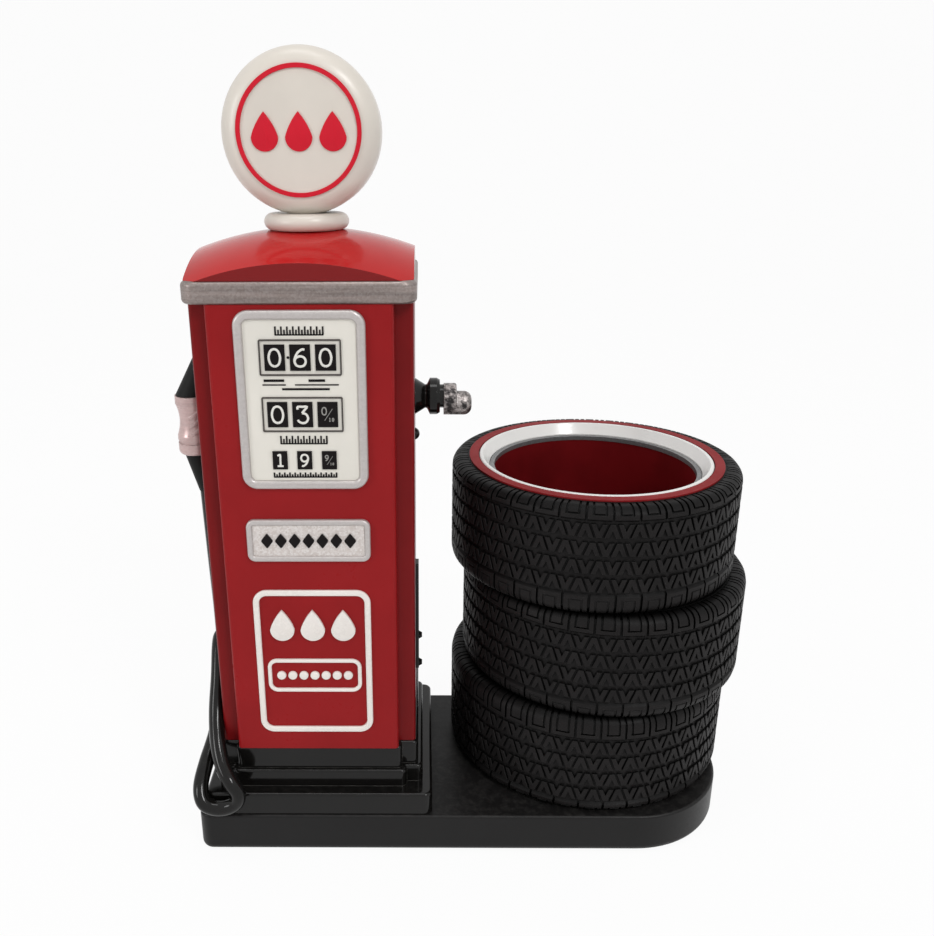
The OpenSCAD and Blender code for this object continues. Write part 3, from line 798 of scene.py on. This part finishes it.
def mix_reds(paints):
    red = tuple(paints.red)
    # The panels' pale edges are partly wear and partly a painted highlight
    enamel("pump_red", red, rough=0.3, shade=0.9, specular=0.12, bump=0.08,
           worn_and_highlit=paints.wear_and_highlight, worn_and_highlit_tone=paint(196, 58, 54), dust=0.02)
    # The cabinet body is a darker copy of the pump red: painted shade in the recesses beside the
    # panels
    enamel("cabinet_red", shade_of(red, 0.66), rough=0.32, shade=0.88, specular=0.12,
           bump=0.08, worn_and_highlit=paints.wear_and_highlight, worn_and_highlit_tone=paint(170, 46, 44), dust=0.02)
    # The roof's upright faces take a darker red as painted shade; its pale edges are partly wear
    # and partly a painted highlight along the ridges
    enamel("roof_red", tuple(paints.roof_red), rough=0.16, spread=0.08, shade=0.9,
           specular=0.14, coat=0.14, coat_rough=0.03, bump=0.06, worn_and_highlit=0.35,
           worn_and_highlit_tone=paint(236, 120, 108), upright_painted_shade=paint(122, 18, 20))
    enamel("ring_red", tuple(paints.crimson), rough=0.22, shade=0.92, specular=0.2, bump=0.03)
    enamel("stripe_red", tuple(paints.stripe), rough=0.45, spread=0.14, shade=0.85,
           specular=0.07, bump=0.12, worn_and_highlit=0.2, dust=0.03)
    enamel("cup_maroon", tuple(paints.cup), rough=0.38, spread=0.14, shade=0.7,
           specular=0.12, bump=0.1, dust=0.02)


def mix_plain_finishes(paints):
    """The blacks, the greys and the whites."""
    felt("felt", paint(40, 42, 40))
    enamel("base_black", tuple(paints.base), rough=0.4, spread=0.16, specular=0.2, bump=0.12,
           peel=1400.0, worn_and_highlit=paints.wear_and_highlight, worn_and_highlit_tone=paint(84, 82, 80), dust=0.04)
    # Its pale edges are partly wear and partly a painted highlight along the plinth's steps
    enamel("gloss_black", tuple(paints.black), rough=0.12, spread=0.08, specular=0.2,
           coat=0.1, coat_rough=0.03, bump=0.06, worn_and_highlit=0.5, worn_and_highlit_tone=paint(132, 128, 120),
           dust=0.02)
    enamel("matt_black", paint(24, 25, 24), rough=0.55, specular=0.15, bump=0.15, worn_and_highlit=0.3,
           worn_and_highlit_tone=paint(80, 80, 78), dust=0.02)
    # Tyres: pale edges partly as wear and partly as a painted highlight on the ridges; painted
    # shade on the faces that look up and in the grooves
    enamel("tyre_black", tuple(paints.tyre), rough=0.5, spread=0.2, shade=0.7, specular=0.12,
           bump=0.3, bump_depth=0.05 * MM, peel=1600.0, cloud=160.0, soft=0.12 * MM,
           worn_and_highlit=0.5, worn_and_highlit_tone=paint(78, 76, 74), dust=0.03, dust_tone=paint(110, 108, 104),
           top_shade=0.3, hollow=0.95, groove_shade_reach=2.4 * MM)
    enamel("print_black", paint(22, 18, 19), rough=0.42, shade=0.75, specular=0.1, bump=0.06)
    enamel("print_grey", paint(84, 79, 76), rough=0.5, shade=0.8, specular=0.1, bump=0.06)
    enamel("numeral_grey", paint(150, 148, 144), rough=0.5, shade=0.8, bump=0.04, worn_and_highlit=0.05)
    enamel("numeral_white", paint(226, 224, 218), rough=0.4, shade=0.9, bump=0.04, worn_and_highlit=0.05)
    enamel("outline_white", paint(236, 230, 224), rough=0.26, shade=0.94, bump=0.06)
    enamel("dial_white", tuple(paints.face), rough=0.34, spread=0.12, shade=0.95,
           specular=0.3, bump=0.05)
    enamel("globe_white", tuple(paints.white), rough=0.34, spread=0.08, shade=0.94,
           coat=0.08, coat_rough=0.1, bump=0.04)
    enamel("wheel_white", paint(236, 235, 232), rough=0.24, shade=0.95, coat=0.2, bump=0.04,
           worn_and_highlit=0.05)


def mix_silvers(paints):
    metal = tuple(paints.silver)
    silver("silver_paint", metal, streak=0.3)
    silver("silver_rim", blend_of(metal, WHITE, 0.3), rough=0.34, metal=0.45, streak=0.05)
    # The nozzle's strong pink tint is a painted reflection of the red cabinet
    silver("silver_pale", blend_of(metal, paint(255, 214, 212), 0.45), rough=0.3, metal=0.4)
    silver("silver_grain", blend_of(metal, paint(255, 246, 240), 0.45), rough=0.42,
           metal=0.45, streak=0.06, flake=0.5, stretch=(700.0, 700.0, 700.0),
           bump=0.5, bump_depth=0.06 * MM)
    silver("silver_cast", blend_of(metal, WHITE, 0.2), rough=0.28, metal=0.85, pits=0.95,
           stretch=(500.0, 500.0, 500.0), bump=0.8, bump_depth=0.12 * MM)
    silver("wheel_grey", paint(120, 121, 122), rough=0.34, metal=0.5,
           stretch=(60.0, 60.0, 900.0))


class ORGANISER_OT_finishes(bpy.types.Operator):
    """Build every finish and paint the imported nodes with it"""

    bl_idname = "organiser.finishes"
    bl_label = "Finishes"

    def execute(self, context):
        for build in (
            build_cast_paint, build_edge_wear, build_dust, build_uprights, build_groove_shade,
            build_brush_marks,
        ):
            build()
        paints = context.scene.organiser_paints
        mix_reds(paints)
        mix_plain_finishes(paints)
        mix_silvers(paints)
        for node, obj in frame["nodes"].items():
            finish = bpy.data.materials[SPECIAL_FINISHES.get(node, slot_of_node[node])]
            for place in obj.material_slots:
                place.material = finish
        return {"FINISHED"}


# ---- Pieces ----


class ORGANISER_OT_globe_drops(bpy.types.Operator):
    """Print three drops on the globe's face"""

    bl_idname = "organiser.globe_drops"
    bl_label = "Globe drops"

    def execute(self, context):
        prints = context.scene.organiser_prints
        ring = middle("globe_ring")
        centre = Vector((ring.x - prints.drop_pitch, high("globe_ring").y, ring.z))
        rise, soft = 0.35 * MM, 0.1 * MM
        drops = drop(centre, prints.drop_width, prints.drop_height, rise, soft)
        repeat_in_row(drops, prints.drop_pitch, (1, 2))
        settle(drops, "globe_drops", "ring_red")
        return {"FINISHED"}


# The pitch of a row of small signs, as a share of one sign's width, and how many it has
STUD_PITCH, LOZENGE_PITCH = 1.22, 1.12
SIGNS_IN_ROW = 7


class ORGANISER_OT_door_signs(bpy.types.Operator):
    """Raise three drops on the door and a row of studs in the small label"""

    bl_idname = "organiser.door_signs"
    bl_label = "Door signs"

    def execute(self, context):
        prints = context.scene.organiser_prints
        face = low("front_panel").y
        door = middle("door_outline")
        label = middle("label_outline")
        height = (high("label_outline").z + high("door_outline").z) / 2
        centre = Vector((door.x - prints.drop_pitch, face, height))
        soft = 0.3 * MM
        drops = drop(centre, prints.drop_width, prints.drop_height, prints.sign_rise, soft)
        repeat_in_row(drops, prints.drop_pitch, (1, 2))
        settle(drops, "door_drops", "outline_white")
        pitch = prints.stud_size * STUD_PITCH
        first = Vector((label.x - pitch * (SIGNS_IN_ROW - 1) / 2, face, label.z))
        stud = flat_disc(first, prints.stud_size / 2, 28)
        raise_outline(stud, prints.sign_rise * 0.8, 0.28 * MM, 3)
        repeat_in_row(stud, pitch, range(1, SIGNS_IN_ROW))
        settle(stud, "label_studs", "outline_white")
        return {"FINISHED"}


class ORGANISER_OT_grade_lozenges(bpy.types.Operator):
    """Raise a row of black lozenges on the grade plate"""

    bl_idname = "organiser.grade_lozenges"
    bl_label = "Grade lozenges"

    def execute(self, context):
        prints = context.scene.organiser_prints
        plate = middle("grade_face")
        pitch = prints.lozenge_width * LOZENGE_PITCH
        first = Vector(
            (plate.x - pitch * (SIGNS_IN_ROW - 1) / 2, low("grade_face").y, plate.z)
        )
        obj = flat_disc(first, prints.lozenge_height / 2, 4)
        start_editing(obj)
        pick(obj, "VERT", lambda v: True)
        shape = prints.lozenge_width / prints.lozenge_height
        bpy.ops.transform.resize(value=(shape, 1, 1), center_override=first)
        bpy.ops.mesh.bevel(offset=0.3 * MM, segments=3, affect="VERTICES")
        stop_editing()
        rise, soft = 0.4 * MM, 0.15 * MM
        raise_outline(obj, rise, soft)
        repeat_in_row(obj, pitch, range(1, SIGNS_IN_ROW))
        settle(obj, "grade_lozenges", "print_black")
        return {"FINISHED"}


# A drum's width as a share of its height
DRUM_SHAPE = 4.2 / 5.4
# A fraction's three figures: shift to the right and up, height and width, as shares of the
# height of the row's figures, and stroke, as a share of the row's stroke
FRACTION_FIGURES = (
    (-0.17, 0.18, 0.46, 0.3, 0.55),
    (0.1, -0.26, 0.22, 0.13, 0.385),
    (0.26, -0.26, 0.22, 0.13, 0.385),
)
# A fraction's slash: thickness, height, and where its foot and its top stand, in shares of the
# height of the row's figures
SLASH_WIDTH, SLASH_HEIGHT = 0.035, 0.6
SLASH_FOOT, SLASH_TOP = -0.16, 0.24


def fraction(above, centre, tall, stroke, rise):
    """Thin figures on the third drum: one above a slash and a ten below it."""
    made = []
    for text, (right, up, height, width, weight) in zip(above + "10", FRACTION_FIGURES):
        place = centre + Vector((right, 0, up)) * tall
        made.append(figure(text, place, tall * height, tall * width, stroke * weight, rise))
    slash = bar(centre, tall * SLASH_WIDTH, tall * SLASH_HEIGHT, rise)
    start_editing(slash)
    for side, lean in ((1, SLASH_TOP), (-1, SLASH_FOOT)):
        pick(slash, "VERT", lambda v, way=side: way * v.co.z > way * centre.z)
        bpy.ops.transform.translate(value=(lean * tall, 0, 0))
    stop_editing()
    return join([*made, slash])


class ORGANISER_OT_dial_numerals(bpy.types.Operator):
    """Set white figures on the dial's drums"""

    bl_idname = "organiser.dial_numerals"
    bl_label = "Dial numerals"

    def execute(self, context):
        prints = context.scene.organiser_prints
        rise = prints.print_rise
        rows = {
            "sale_drums": ("060", "", prints.numeral_height, prints.numeral_width),
            "volume_drums": ("03", "0", prints.numeral_height, prints.numeral_width),
            "price_drums": ("19", "9", prints.price_height, prints.price_width),
        }
        for node, (figures, above, tall, wide) in rows.items():
            left, right = low(node).x, high(node).x
            drum = (high(node).z - low(node).z) * DRUM_SHAPE
            step = (right - left - drum) / 2
            places = [
                Vector((left + drum / 2 + k * step, low(node).y, middle(node).z)) for k in range(3)
            ]
            stroke = prints.stroke * (tall / prints.numeral_height) ** 0.5
            made = [
                figure(text, place, tall, wide, stroke, rise)
                for text, place in zip(figures, places)
            ]
            settle(join(made), node.replace("drums", "numerals"), "outline_white", "numeral_white")
            if above:
                obj = fraction(above, places[2], tall, stroke, rise)
                settle(obj, node.replace("drums", "fraction"), "outline_white", "numeral_grey")
        return {"FINISHED"}


# The dial's scales: the node that each lies by and its side, then in mm its distance from that
# node, its width and its height, and the number of marks
DIAL_SCALES = (
    ("sale_frame", 1, 1.75, 9.6, 1.7, 17),
    ("volume_frame", -1, 1.75, 9.6, 1.7, 17),
    ("price_drums", -1, 1.3, 13.2, 1.0, 25),
)
# The dial's rules under its upper frame, in mm: shift to the right, distance below the frame,
# width and thickness
DIAL_RULES = (
    (-5.6, 1.95, 4.8, 0.25),
    (3.2, 1.95, 9.0, 0.25),
    (0.9, 2.85, 9.8, 0.42),
    (-5.6, 1.05, 4.2, 0.5),
    (3.2, 1.05, 3.4, 0.5),
)


def dial_scale(centre, width, height, count, line, rise):
    """Tall and short marks by turns, on a rule."""
    pitch = width / (count - 1)
    first = centre - Vector((width / 2, 0, 0))
    second = first + Vector((pitch, 0, -height * 0.2))
    tall = repeat_in_row(bar(first, line * 1.3, height, rise), pitch, range(2, count, 2))
    short = bar(second, line * 1.3, height * 0.6, rise)
    short = repeat_in_row(short, pitch, range(2, count - 2, 2))
    return [tall, short, bar(centre - Vector((0, 0, height / 2)), width + line, line, rise)]


class ORGANISER_OT_dial_rules(bpy.types.Operator):
    """Print the dial's rules, its scale marks and the point between the first two drums"""

    bl_idname = "organiser.dial_rules"
    bl_label = "Dial rules"

    def execute(self, context):
        prints = context.scene.organiser_prints
        face = low("dial_face").y
        rise = prints.print_rise
        centre_x = middle("sale_frame").x
        made = []
        for node, side, gap, width, height, count in DIAL_SCALES:
            edge = (high(node) if side > 0 else low(node)).z
            centre = Vector((centre_x, face, edge + side * gap * MM))
            made += dial_scale(centre, width * MM, height * MM, count, prints.rule_width, rise)
        below = low("sale_frame").z
        for shift, fall, width, thick in DIAL_RULES:
            centre = Vector((centre_x + shift * MM, face, below - fall * MM))
            made.append(bar(centre, width * MM, thick * MM, rise))
        gap = (low("sale_drums").x * 2 + high("sale_drums").x) / 3 - 0.05 * MM
        point = flat_disc(Vector((gap, face, middle("sale_drums").z)), 0.28 * MM, 16)
        made.append(raise_outline(point, rise, 0.03 * MM, 1))
        settle(join(made), "dial_rules", "print_black")
        return {"FINISHED"}


# Height of the lowest row of tread above each tyre's foot
TREAD_FEET = {"bottom": 3.6 * MM, "middle": 4.8 * MM, "top": 5.95 * MM}
TREAD_ROWS = 4
# Widths across one shoulder block: rim, groove, bar, groove, rim, as shares of the pitch
BLOCK_SHARES = (0.17, 0.09, 0.38, 0.09, 0.17)
# How deep a block's grooves are, as a share of its thickness: at the upper edge, whose blocks
# run down, and at the lower edge, whose blocks run up
GROOVE_SHARES = {-1: 0.6, 1: 0.3}
# Where the rounded shoulders have corners, in degrees
BLOCK_BENDS = (0, 25, 50, 72, 90)
CARCASS_BENDS = (0, 30, 60, 90)
# A forked stroke's tip, its leg and the gap beside it, as shares of the pitch
STROKE_TIP, STROKE_LEG, STROKE_GAP = 0.1, 0.19, 0.09


def tyre_carcass(sizes, axis, radius, foot, top, level):
    """The tyre without its pattern, at the floor of the grooves."""
    depth, soft = sizes.depth, sizes.shoulder
    wall = radius - sizes.block_reach
    bore = radius - sizes.bore_in
    mouth = [(bore, top)]
    if level == "top":
        flange_lap, fall = 0.6 * MM, 2.2 * MM
        flange = (high("wheel_flange").x - low("wheel_flange").x) / 2
        bore = (high("pen_cup").x - low("pen_cup").x) / 2 + sizes.cup_gap
        mouth = [(flange - flange_lap, top), (bore, top - fall)]
    # Where the shoulders' bends have their middle, and their radius at the grooves' floor
    heart, inner = radius - soft, soft - depth
    bends = [(math.sin(a), math.cos(a)) for a in map(math.radians, CARCASS_BENDS)]
    outline = [
        (bore, foot), (wall, foot), (wall, foot + depth),
        *[(heart + inner * out, foot + soft - inner * up) for out, up in bends],
        *[(heart + inner * out, top - soft + inner * up) for up, out in bends],
        (wall, top - depth), (wall, top), *mouth,
    ]
    return lathe(axis, outline, sizes.blocks * 4)


def shoulder_block(sizes, axis, radius, edge, up, reach):
    """One shoulder block at the front of a tyre, from the side wall round to its own end."""
    soft = sizes.shoulder
    heart = radius - soft
    ease = 0.1 * MM
    groove_top = reach - sizes.block_rim
    groove_foot = groove_top - sizes.cross_groove
    inner = radius - sizes.block_reach
    # Points of the block's section: radius, and distance from the tyre's edge
    outline = [
        (radius if h >= soft else heart + math.sqrt(soft**2 - (soft - h) ** 2), h)
        for h in (reach, groove_top, groove_foot)
    ]
    for bend in map(math.radians, BLOCK_BENDS):
        from_edge = soft * (1 - math.sin(bend))
        if from_edge < groove_foot - ease:
            outline.append((heart + soft * math.cos(bend), from_edge))
    outline.append((inner + ease, 0))
    obj = chain([Vector((axis.x, axis.y - r, edge + up * h)) for r, h in outline])
    pitch = math.tau / sizes.blocks
    bpy.ops.mesh.select_mode(type="EDGE")
    select_mesh()
    for part in BLOCK_SHARES:
        bpy.ops.mesh.spin(steps=1, angle=-pitch * part, center=axis, axis=(0, 0, 1))
    bpy.ops.mesh.select_mode(type="FACE")
    turn_normals_outward()
    inward = Vector((0, 1, up)) * sizes.thickness
    extrude(inward)
    turn_normals_outward()
    ends = [pitch * sum(BLOCK_SHARES[:k]) for k in range(len(BLOCK_SHARES))]

    def grooved(face):
        place = face.calc_center_median() - axis
        around = math.atan2(place.x, -place.y)
        from_edge = (place.z - edge) * up
        flat = Vector((place.x, place.y, 0))
        outward = flat.normalized() - Vector((0, 0, up))
        if from_edge > groove_top + TINY or flat.length < inner or face.normal.dot(outward) < 0.5:
            return False
        if ends[1] < around < ends[2] or ends[3] < around < ends[4]:
            return True
        return ends[2] < around < ends[3] and from_edge > groove_foot

    if not pick(obj, "FACE", grooved):
        raise RuntimeError("a shoulder block has no groove")
    extrude(inward * GROOVE_SHARES[up])
    stop_editing()
    obj.matrix_world = turned(axis, -pitch * sum(BLOCK_SHARES) / 2)
    apply_place(obj)
    return obj


def forked_stroke(sizes, axis, radius, foot):
    """One forked stroke of the tread at the front of a tyre, with its legs down."""
    pitch = math.tau * radius / sizes.blocks
    tall = sizes.row_height
    tip, leg = pitch * STROKE_TIP, pitch * STROKE_LEG
    half = pitch * 0.5 - tip - pitch * STROKE_GAP
    side = [(half, 0), (half - leg, 0), (0, tall * 0.5)]
    outline = [(-tip, tall), (tip, tall), *side, *[(-x, z) for x, z in reversed(side[:-1])]]
    sunk, extra, soft = 0.08 * MM, 0.05 * MM, 0.12 * MM
    face = axis.y - radius + sizes.depth + sunk
    obj = chain([Vector((axis.x + x, face, foot + z)) for x, z in outline])
    select_mesh()
    bpy.ops.mesh.edge_face_add()
    stop_editing()
    return raise_outline(obj, sizes.depth + extra, soft, 1)


class ORGANISER_OT_tyres(bpy.types.Operator):
    """Model the three tyres with their tread and their grooved shoulder blocks"""

    bl_idname = "organiser.tyres"
    bl_label = "Tyres"

    def execute(self, context):
        sizes = context.scene.organiser_tyres
        pitch = math.tau / sizes.blocks
        upper_turn = sizes.phase + pitch / 2
        for level, tread_foot in TREAD_FEET.items():
            node = "tyre_" + level
            axis = Vector((middle(node).x, middle(node).y, 0))
            radius = high(node).x - axis.x
            foot, top = low(node).z, high(node).z
            above = top - foot - tread_foot - TREAD_ROWS * sizes.row_pitch
            below = tread_foot - (sizes.row_pitch - sizes.row_height)
            sector = [
                shoulder_block(sizes, axis, radius, top, -1, above),
                shoulder_block(sizes, axis, radius, foot, 1, below),
            ]
            sector[0].matrix_world = turned(axis, upper_turn)
            sector[1].matrix_world = turned(axis, upper_turn + sizes.row_turn)
            letter = forked_stroke(sizes, axis, radius, foot + tread_foot)
            centre = Vector((axis.x, axis.y, foot + tread_foot + sizes.row_height / 2))
            half_turn = Matrix.Rotation(math.pi, 4, "Y")
            over = Matrix.Translation(centre) @ half_turn @ Matrix.Translation(-centre)
            for row in range(TREAD_ROWS):
                lift = Matrix.Translation((0, 0, row * sizes.row_pitch))
                by = sizes.phase + (TREAD_ROWS - 1 - row) * sizes.row_turn
                sector.append(copy_to(letter, lift @ turned(axis, by)))
                sector.append(copy_to(letter, lift @ turned(axis, by + pitch / 2) @ over))
            make_active(letter)
            bpy.ops.object.delete()
            first = join(sector)
            ring = [copy_to(first, turned(axis, k * pitch)) for k in range(1, sizes.blocks)]
            obj = join([first, *ring, tyre_carcass(sizes, axis, radius, foot, top, level)])
            settle(obj, node + "_shape", "tyre_black", stands_for=(node, "tread_" + level))
        return {"FINISHED"}


# The hose's route in mm, from the cabinet's left side, the base's front and the base's top
HOSE_POINTS = (
    (-1.95, 20, 76.4), (-1.95, 21.5, 58), (-1.95, 22.8, 43), (-1.95, 22.3, 33),
    (-2.2, 19.5, 22.8), (-3.2, 12.5, 15.2), (-4.5, 6, 10.9), (-5.1, 1.6, 7.6),
    (-4.2, -0.7, 4.8), (-1.7, -1.3, 3.5), (1.3, -1.35, 3.6), (3.8, -1.35, 5.2),
    (4.3, -1.35, 7.8), (2.7, -0.8, 10.4), (0.6, 1.5, 13.2), (-1, 4.9, 17.2),
    (-1.95, 9.8, 22.8), (-1.95, 14.5, 29.8), (-1.95, 17.6, 35.8), (-1.5, 18.4, 38.4),
    (-0.5, 18.4, 39.2),
)


class ORGANISER_OT_hose(bpy.types.Operator):
    """Draw the cast hose as a smooth tube along its route"""

    bl_idname = "organiser.hose"
    bl_label = "Hose"

    def execute(self, context):
        origin = Vector((low("cabinet").x, low("base_plate").y, high("base_plate").z))
        points = smooth_route([origin + Vector(p) * MM for p in HOSE_POINTS], 6)
        obj = tube("hose_line", [points], context.scene.organiser_prints.hose_radius, 6)
        start_editing(obj)
        select_mesh()
        bpy.ops.mesh.remove_doubles(threshold=WELD)
        turn_normals_outward()
        stop_editing()
        settle(obj, "hose_line", "gloss_black", stands_for=("hose",))
        return {"FINISHED"}


# ---- Studio ----


# Where each lamp stands, and its width and height, in metres
LAMPS = {
    "key": ((0.4, -0.65, 0.75), (0.22, 0.22)),
    "fill": ((-0.7, -0.5, 0.35), (0.2, 0.3)),
    "top": ((-0.05, -0.1, 0.9), (0.4, 0.2)),
}
# The sweep's floor, wall and bend, in metres
FLOOR_WIDTH, FLOOR_DEPTH, FLOOR_MIDDLE = 6, 4, -0.4
WALL_HEIGHT, WALL_BEND = 3, 0.8
# Share of pure white in the sweep where it is seen; the rest is shaded paper
SWEEP_GLOW = 0.94


def add_lamp(name, strength):
    """A soft lamp that points at the middle of the organiser."""
    place, size = LAMPS[name]
    lamp = new_object(bpy.ops.object.light_add, type="AREA", location=place)
    lamp.name = name + "_lamp"
    lamp.data.shape = "RECTANGLE"
    lamp.data.size, lamp.data.size_y = size
    lamp.data.energy = strength
    aim = (cad_box[0] + cad_box[1]) / 2 - Vector(place)
    lamp.rotation_euler = aim.to_track_quat("-Z", "Y").to_euler()


def add_sweep():
    obj = new_object(bpy.ops.mesh.primitive_plane_add, size=1)
    obj.scale = (FLOOR_WIDTH, FLOOR_DEPTH, 1)
    obj.location = (0, FLOOR_MIDDLE, 0)
    apply_place(obj)
    start_editing(obj)
    pick(obj, "EDGE", lambda edge: all(v.co.y > 1 for v in edge.verts))
    extrude((0, 0, WALL_HEIGHT))
    pick(obj, "EDGE", lambda edge: all(v.co.y > 1 and abs(v.co.z) < TINY for v in edge.verts))
    bpy.ops.mesh.bevel(offset=WALL_BEND, segments=16, profile=0.5)
    stop_editing()
    bpy.ops.object.shade_smooth_by_angle(angle=math.radians(40))
    obj.name = "sweep"
    material = bpy.data.materials.new("sweep_white")
    material.use_nodes = True
    tree = material.node_tree
    tree.nodes.clear()
    clouds = noise(tree, object_place(tree), 30.0, detail=3.0)
    mottle = remap(tree, clouds, 0.3, 0.7, 0.84, 0.88)
    tone = add(tree, "ShaderNodeCombineColor", {0: mottle, 1: mottle, 2: mottle})
    paper = add(tree, "ShaderNodeBsdfDiffuse", {"Color": tone.outputs[0]})
    glow = add(tree, "ShaderNodeEmission", {"Color": WHITE, "Strength": 1.0})
    seen = times(tree, seen_directly(tree), SWEEP_GLOW)
    wires = {0: seen, 1: paper.outputs[0], 2: glow.outputs[0]}
    blend = add(tree, "ShaderNodeMixShader", wires)
    out = add(tree, "ShaderNodeOutputMaterial", {"Surface": blend.outputs[0]})
    tree.nodes.active = out
    obj.data.materials.append(material)


def light_room(context, ambient):
    world = context.scene.world or bpy.data.worlds.new("room")
    context.scene.world = world
    world.use_nodes = True
    tree = world.node_tree
    tree.nodes.clear()
    strength = remap(tree, seen_directly(tree), 0.0, 1.0, ambient, 1.0)
    light = add(tree, "ShaderNodeBackground", {"Color": WHITE, "Strength": strength})
    add(tree, "ShaderNodeOutputWorld", {"Surface": light.outputs[0]})


def add_camera(context, studio):
    camera = new_object(bpy.ops.object.camera_add)
    camera.name = "camera"
    camera.data.lens = studio.lens
    camera.data.shift_x = studio.shift
    camera.data.sensor_width = 36.0
    camera.data.clip_start, camera.data.clip_end = 0.01, 50.0
    camera.matrix_world = (
        Matrix.Translation(studio.place)
        @ Matrix.Rotation(studio.turn, 4, "Z")
        @ Matrix.Rotation(math.radians(90) - studio.tilt, 4, "X")
        @ Matrix.Rotation(studio.roll, 4, "Z")
    )
    context.scene.camera = camera


class ORGANISER_OT_stage(bpy.types.Operator):
    """Build the white sweep, the soft lamps, the room light and the camera"""

    bl_idname = "organiser.stage"
    bl_label = "Studio"

    def execute(self, context):
        studio = context.scene.organiser_studio
        add_sweep()
        for name in LAMPS:
            add_lamp(name, getattr(studio, name))
        light_room(context, studio.ambient)
        add_camera(context, studio)
        context.scene.view_settings.view_transform = "Standard"
        return {"FINISHED"}


# ---- Panel ----


class ORGANISER_PT_panel(bpy.types.Panel):
    """Lists the steps that dress the organiser"""

    bl_idname = "ORGANISER_PT_panel"
    bl_label = "Desk organiser"
    bl_space_type = "VIEW_3D"
    bl_region_type = "UI"
    bl_category = "Organiser"

    def draw(self, context):
        for operator in OPERATORS:
            self.layout.operator(operator.bl_idname)
        for group_name in GROUPS:
            settings = getattr(context.scene, group_name)
            box = self.layout.box()
            for key in settings.__annotations__:
                box.prop(settings, key)


GROUPS = {
    "organiser_prints": OrganiserPrints,
    "organiser_tyres": OrganiserTyres,
    "organiser_paints": OrganiserPaints,
    "organiser_studio": OrganiserStudio,
}
OPERATORS = (
    ORGANISER_OT_finishes,
    ORGANISER_OT_hose,
    ORGANISER_OT_tyres,
    ORGANISER_OT_globe_drops,
    ORGANISER_OT_dial_numerals,
    ORGANISER_OT_dial_rules,
    ORGANISER_OT_grade_lozenges,
    ORGANISER_OT_door_signs,
    ORGANISER_OT_stage,
)


def register():
    for cls in (*GROUPS.values(), *OPERATORS, ORGANISER_PT_panel):
        bpy.utils.register_class(cls)
    for name, cls in GROUPS.items():
        setattr(bpy.types.Scene, name, bpy.props.PointerProperty(type=cls))


def unregister():
    for name in GROUPS:
        delattr(bpy.types.Scene, name)
    for cls in reversed((*GROUPS.values(), *OPERATORS, ORGANISER_PT_panel)):
        bpy.utils.unregister_class(cls)


def main():
    register()
    for operator in OPERATORS:
        family, name = operator.bl_idname.split(".")
        if getattr(getattr(bpy.ops, family), name)() != {"FINISHED"}:
            raise RuntimeError(operator.bl_label + " didn't finish")


if __name__ == "__main__":
    main()
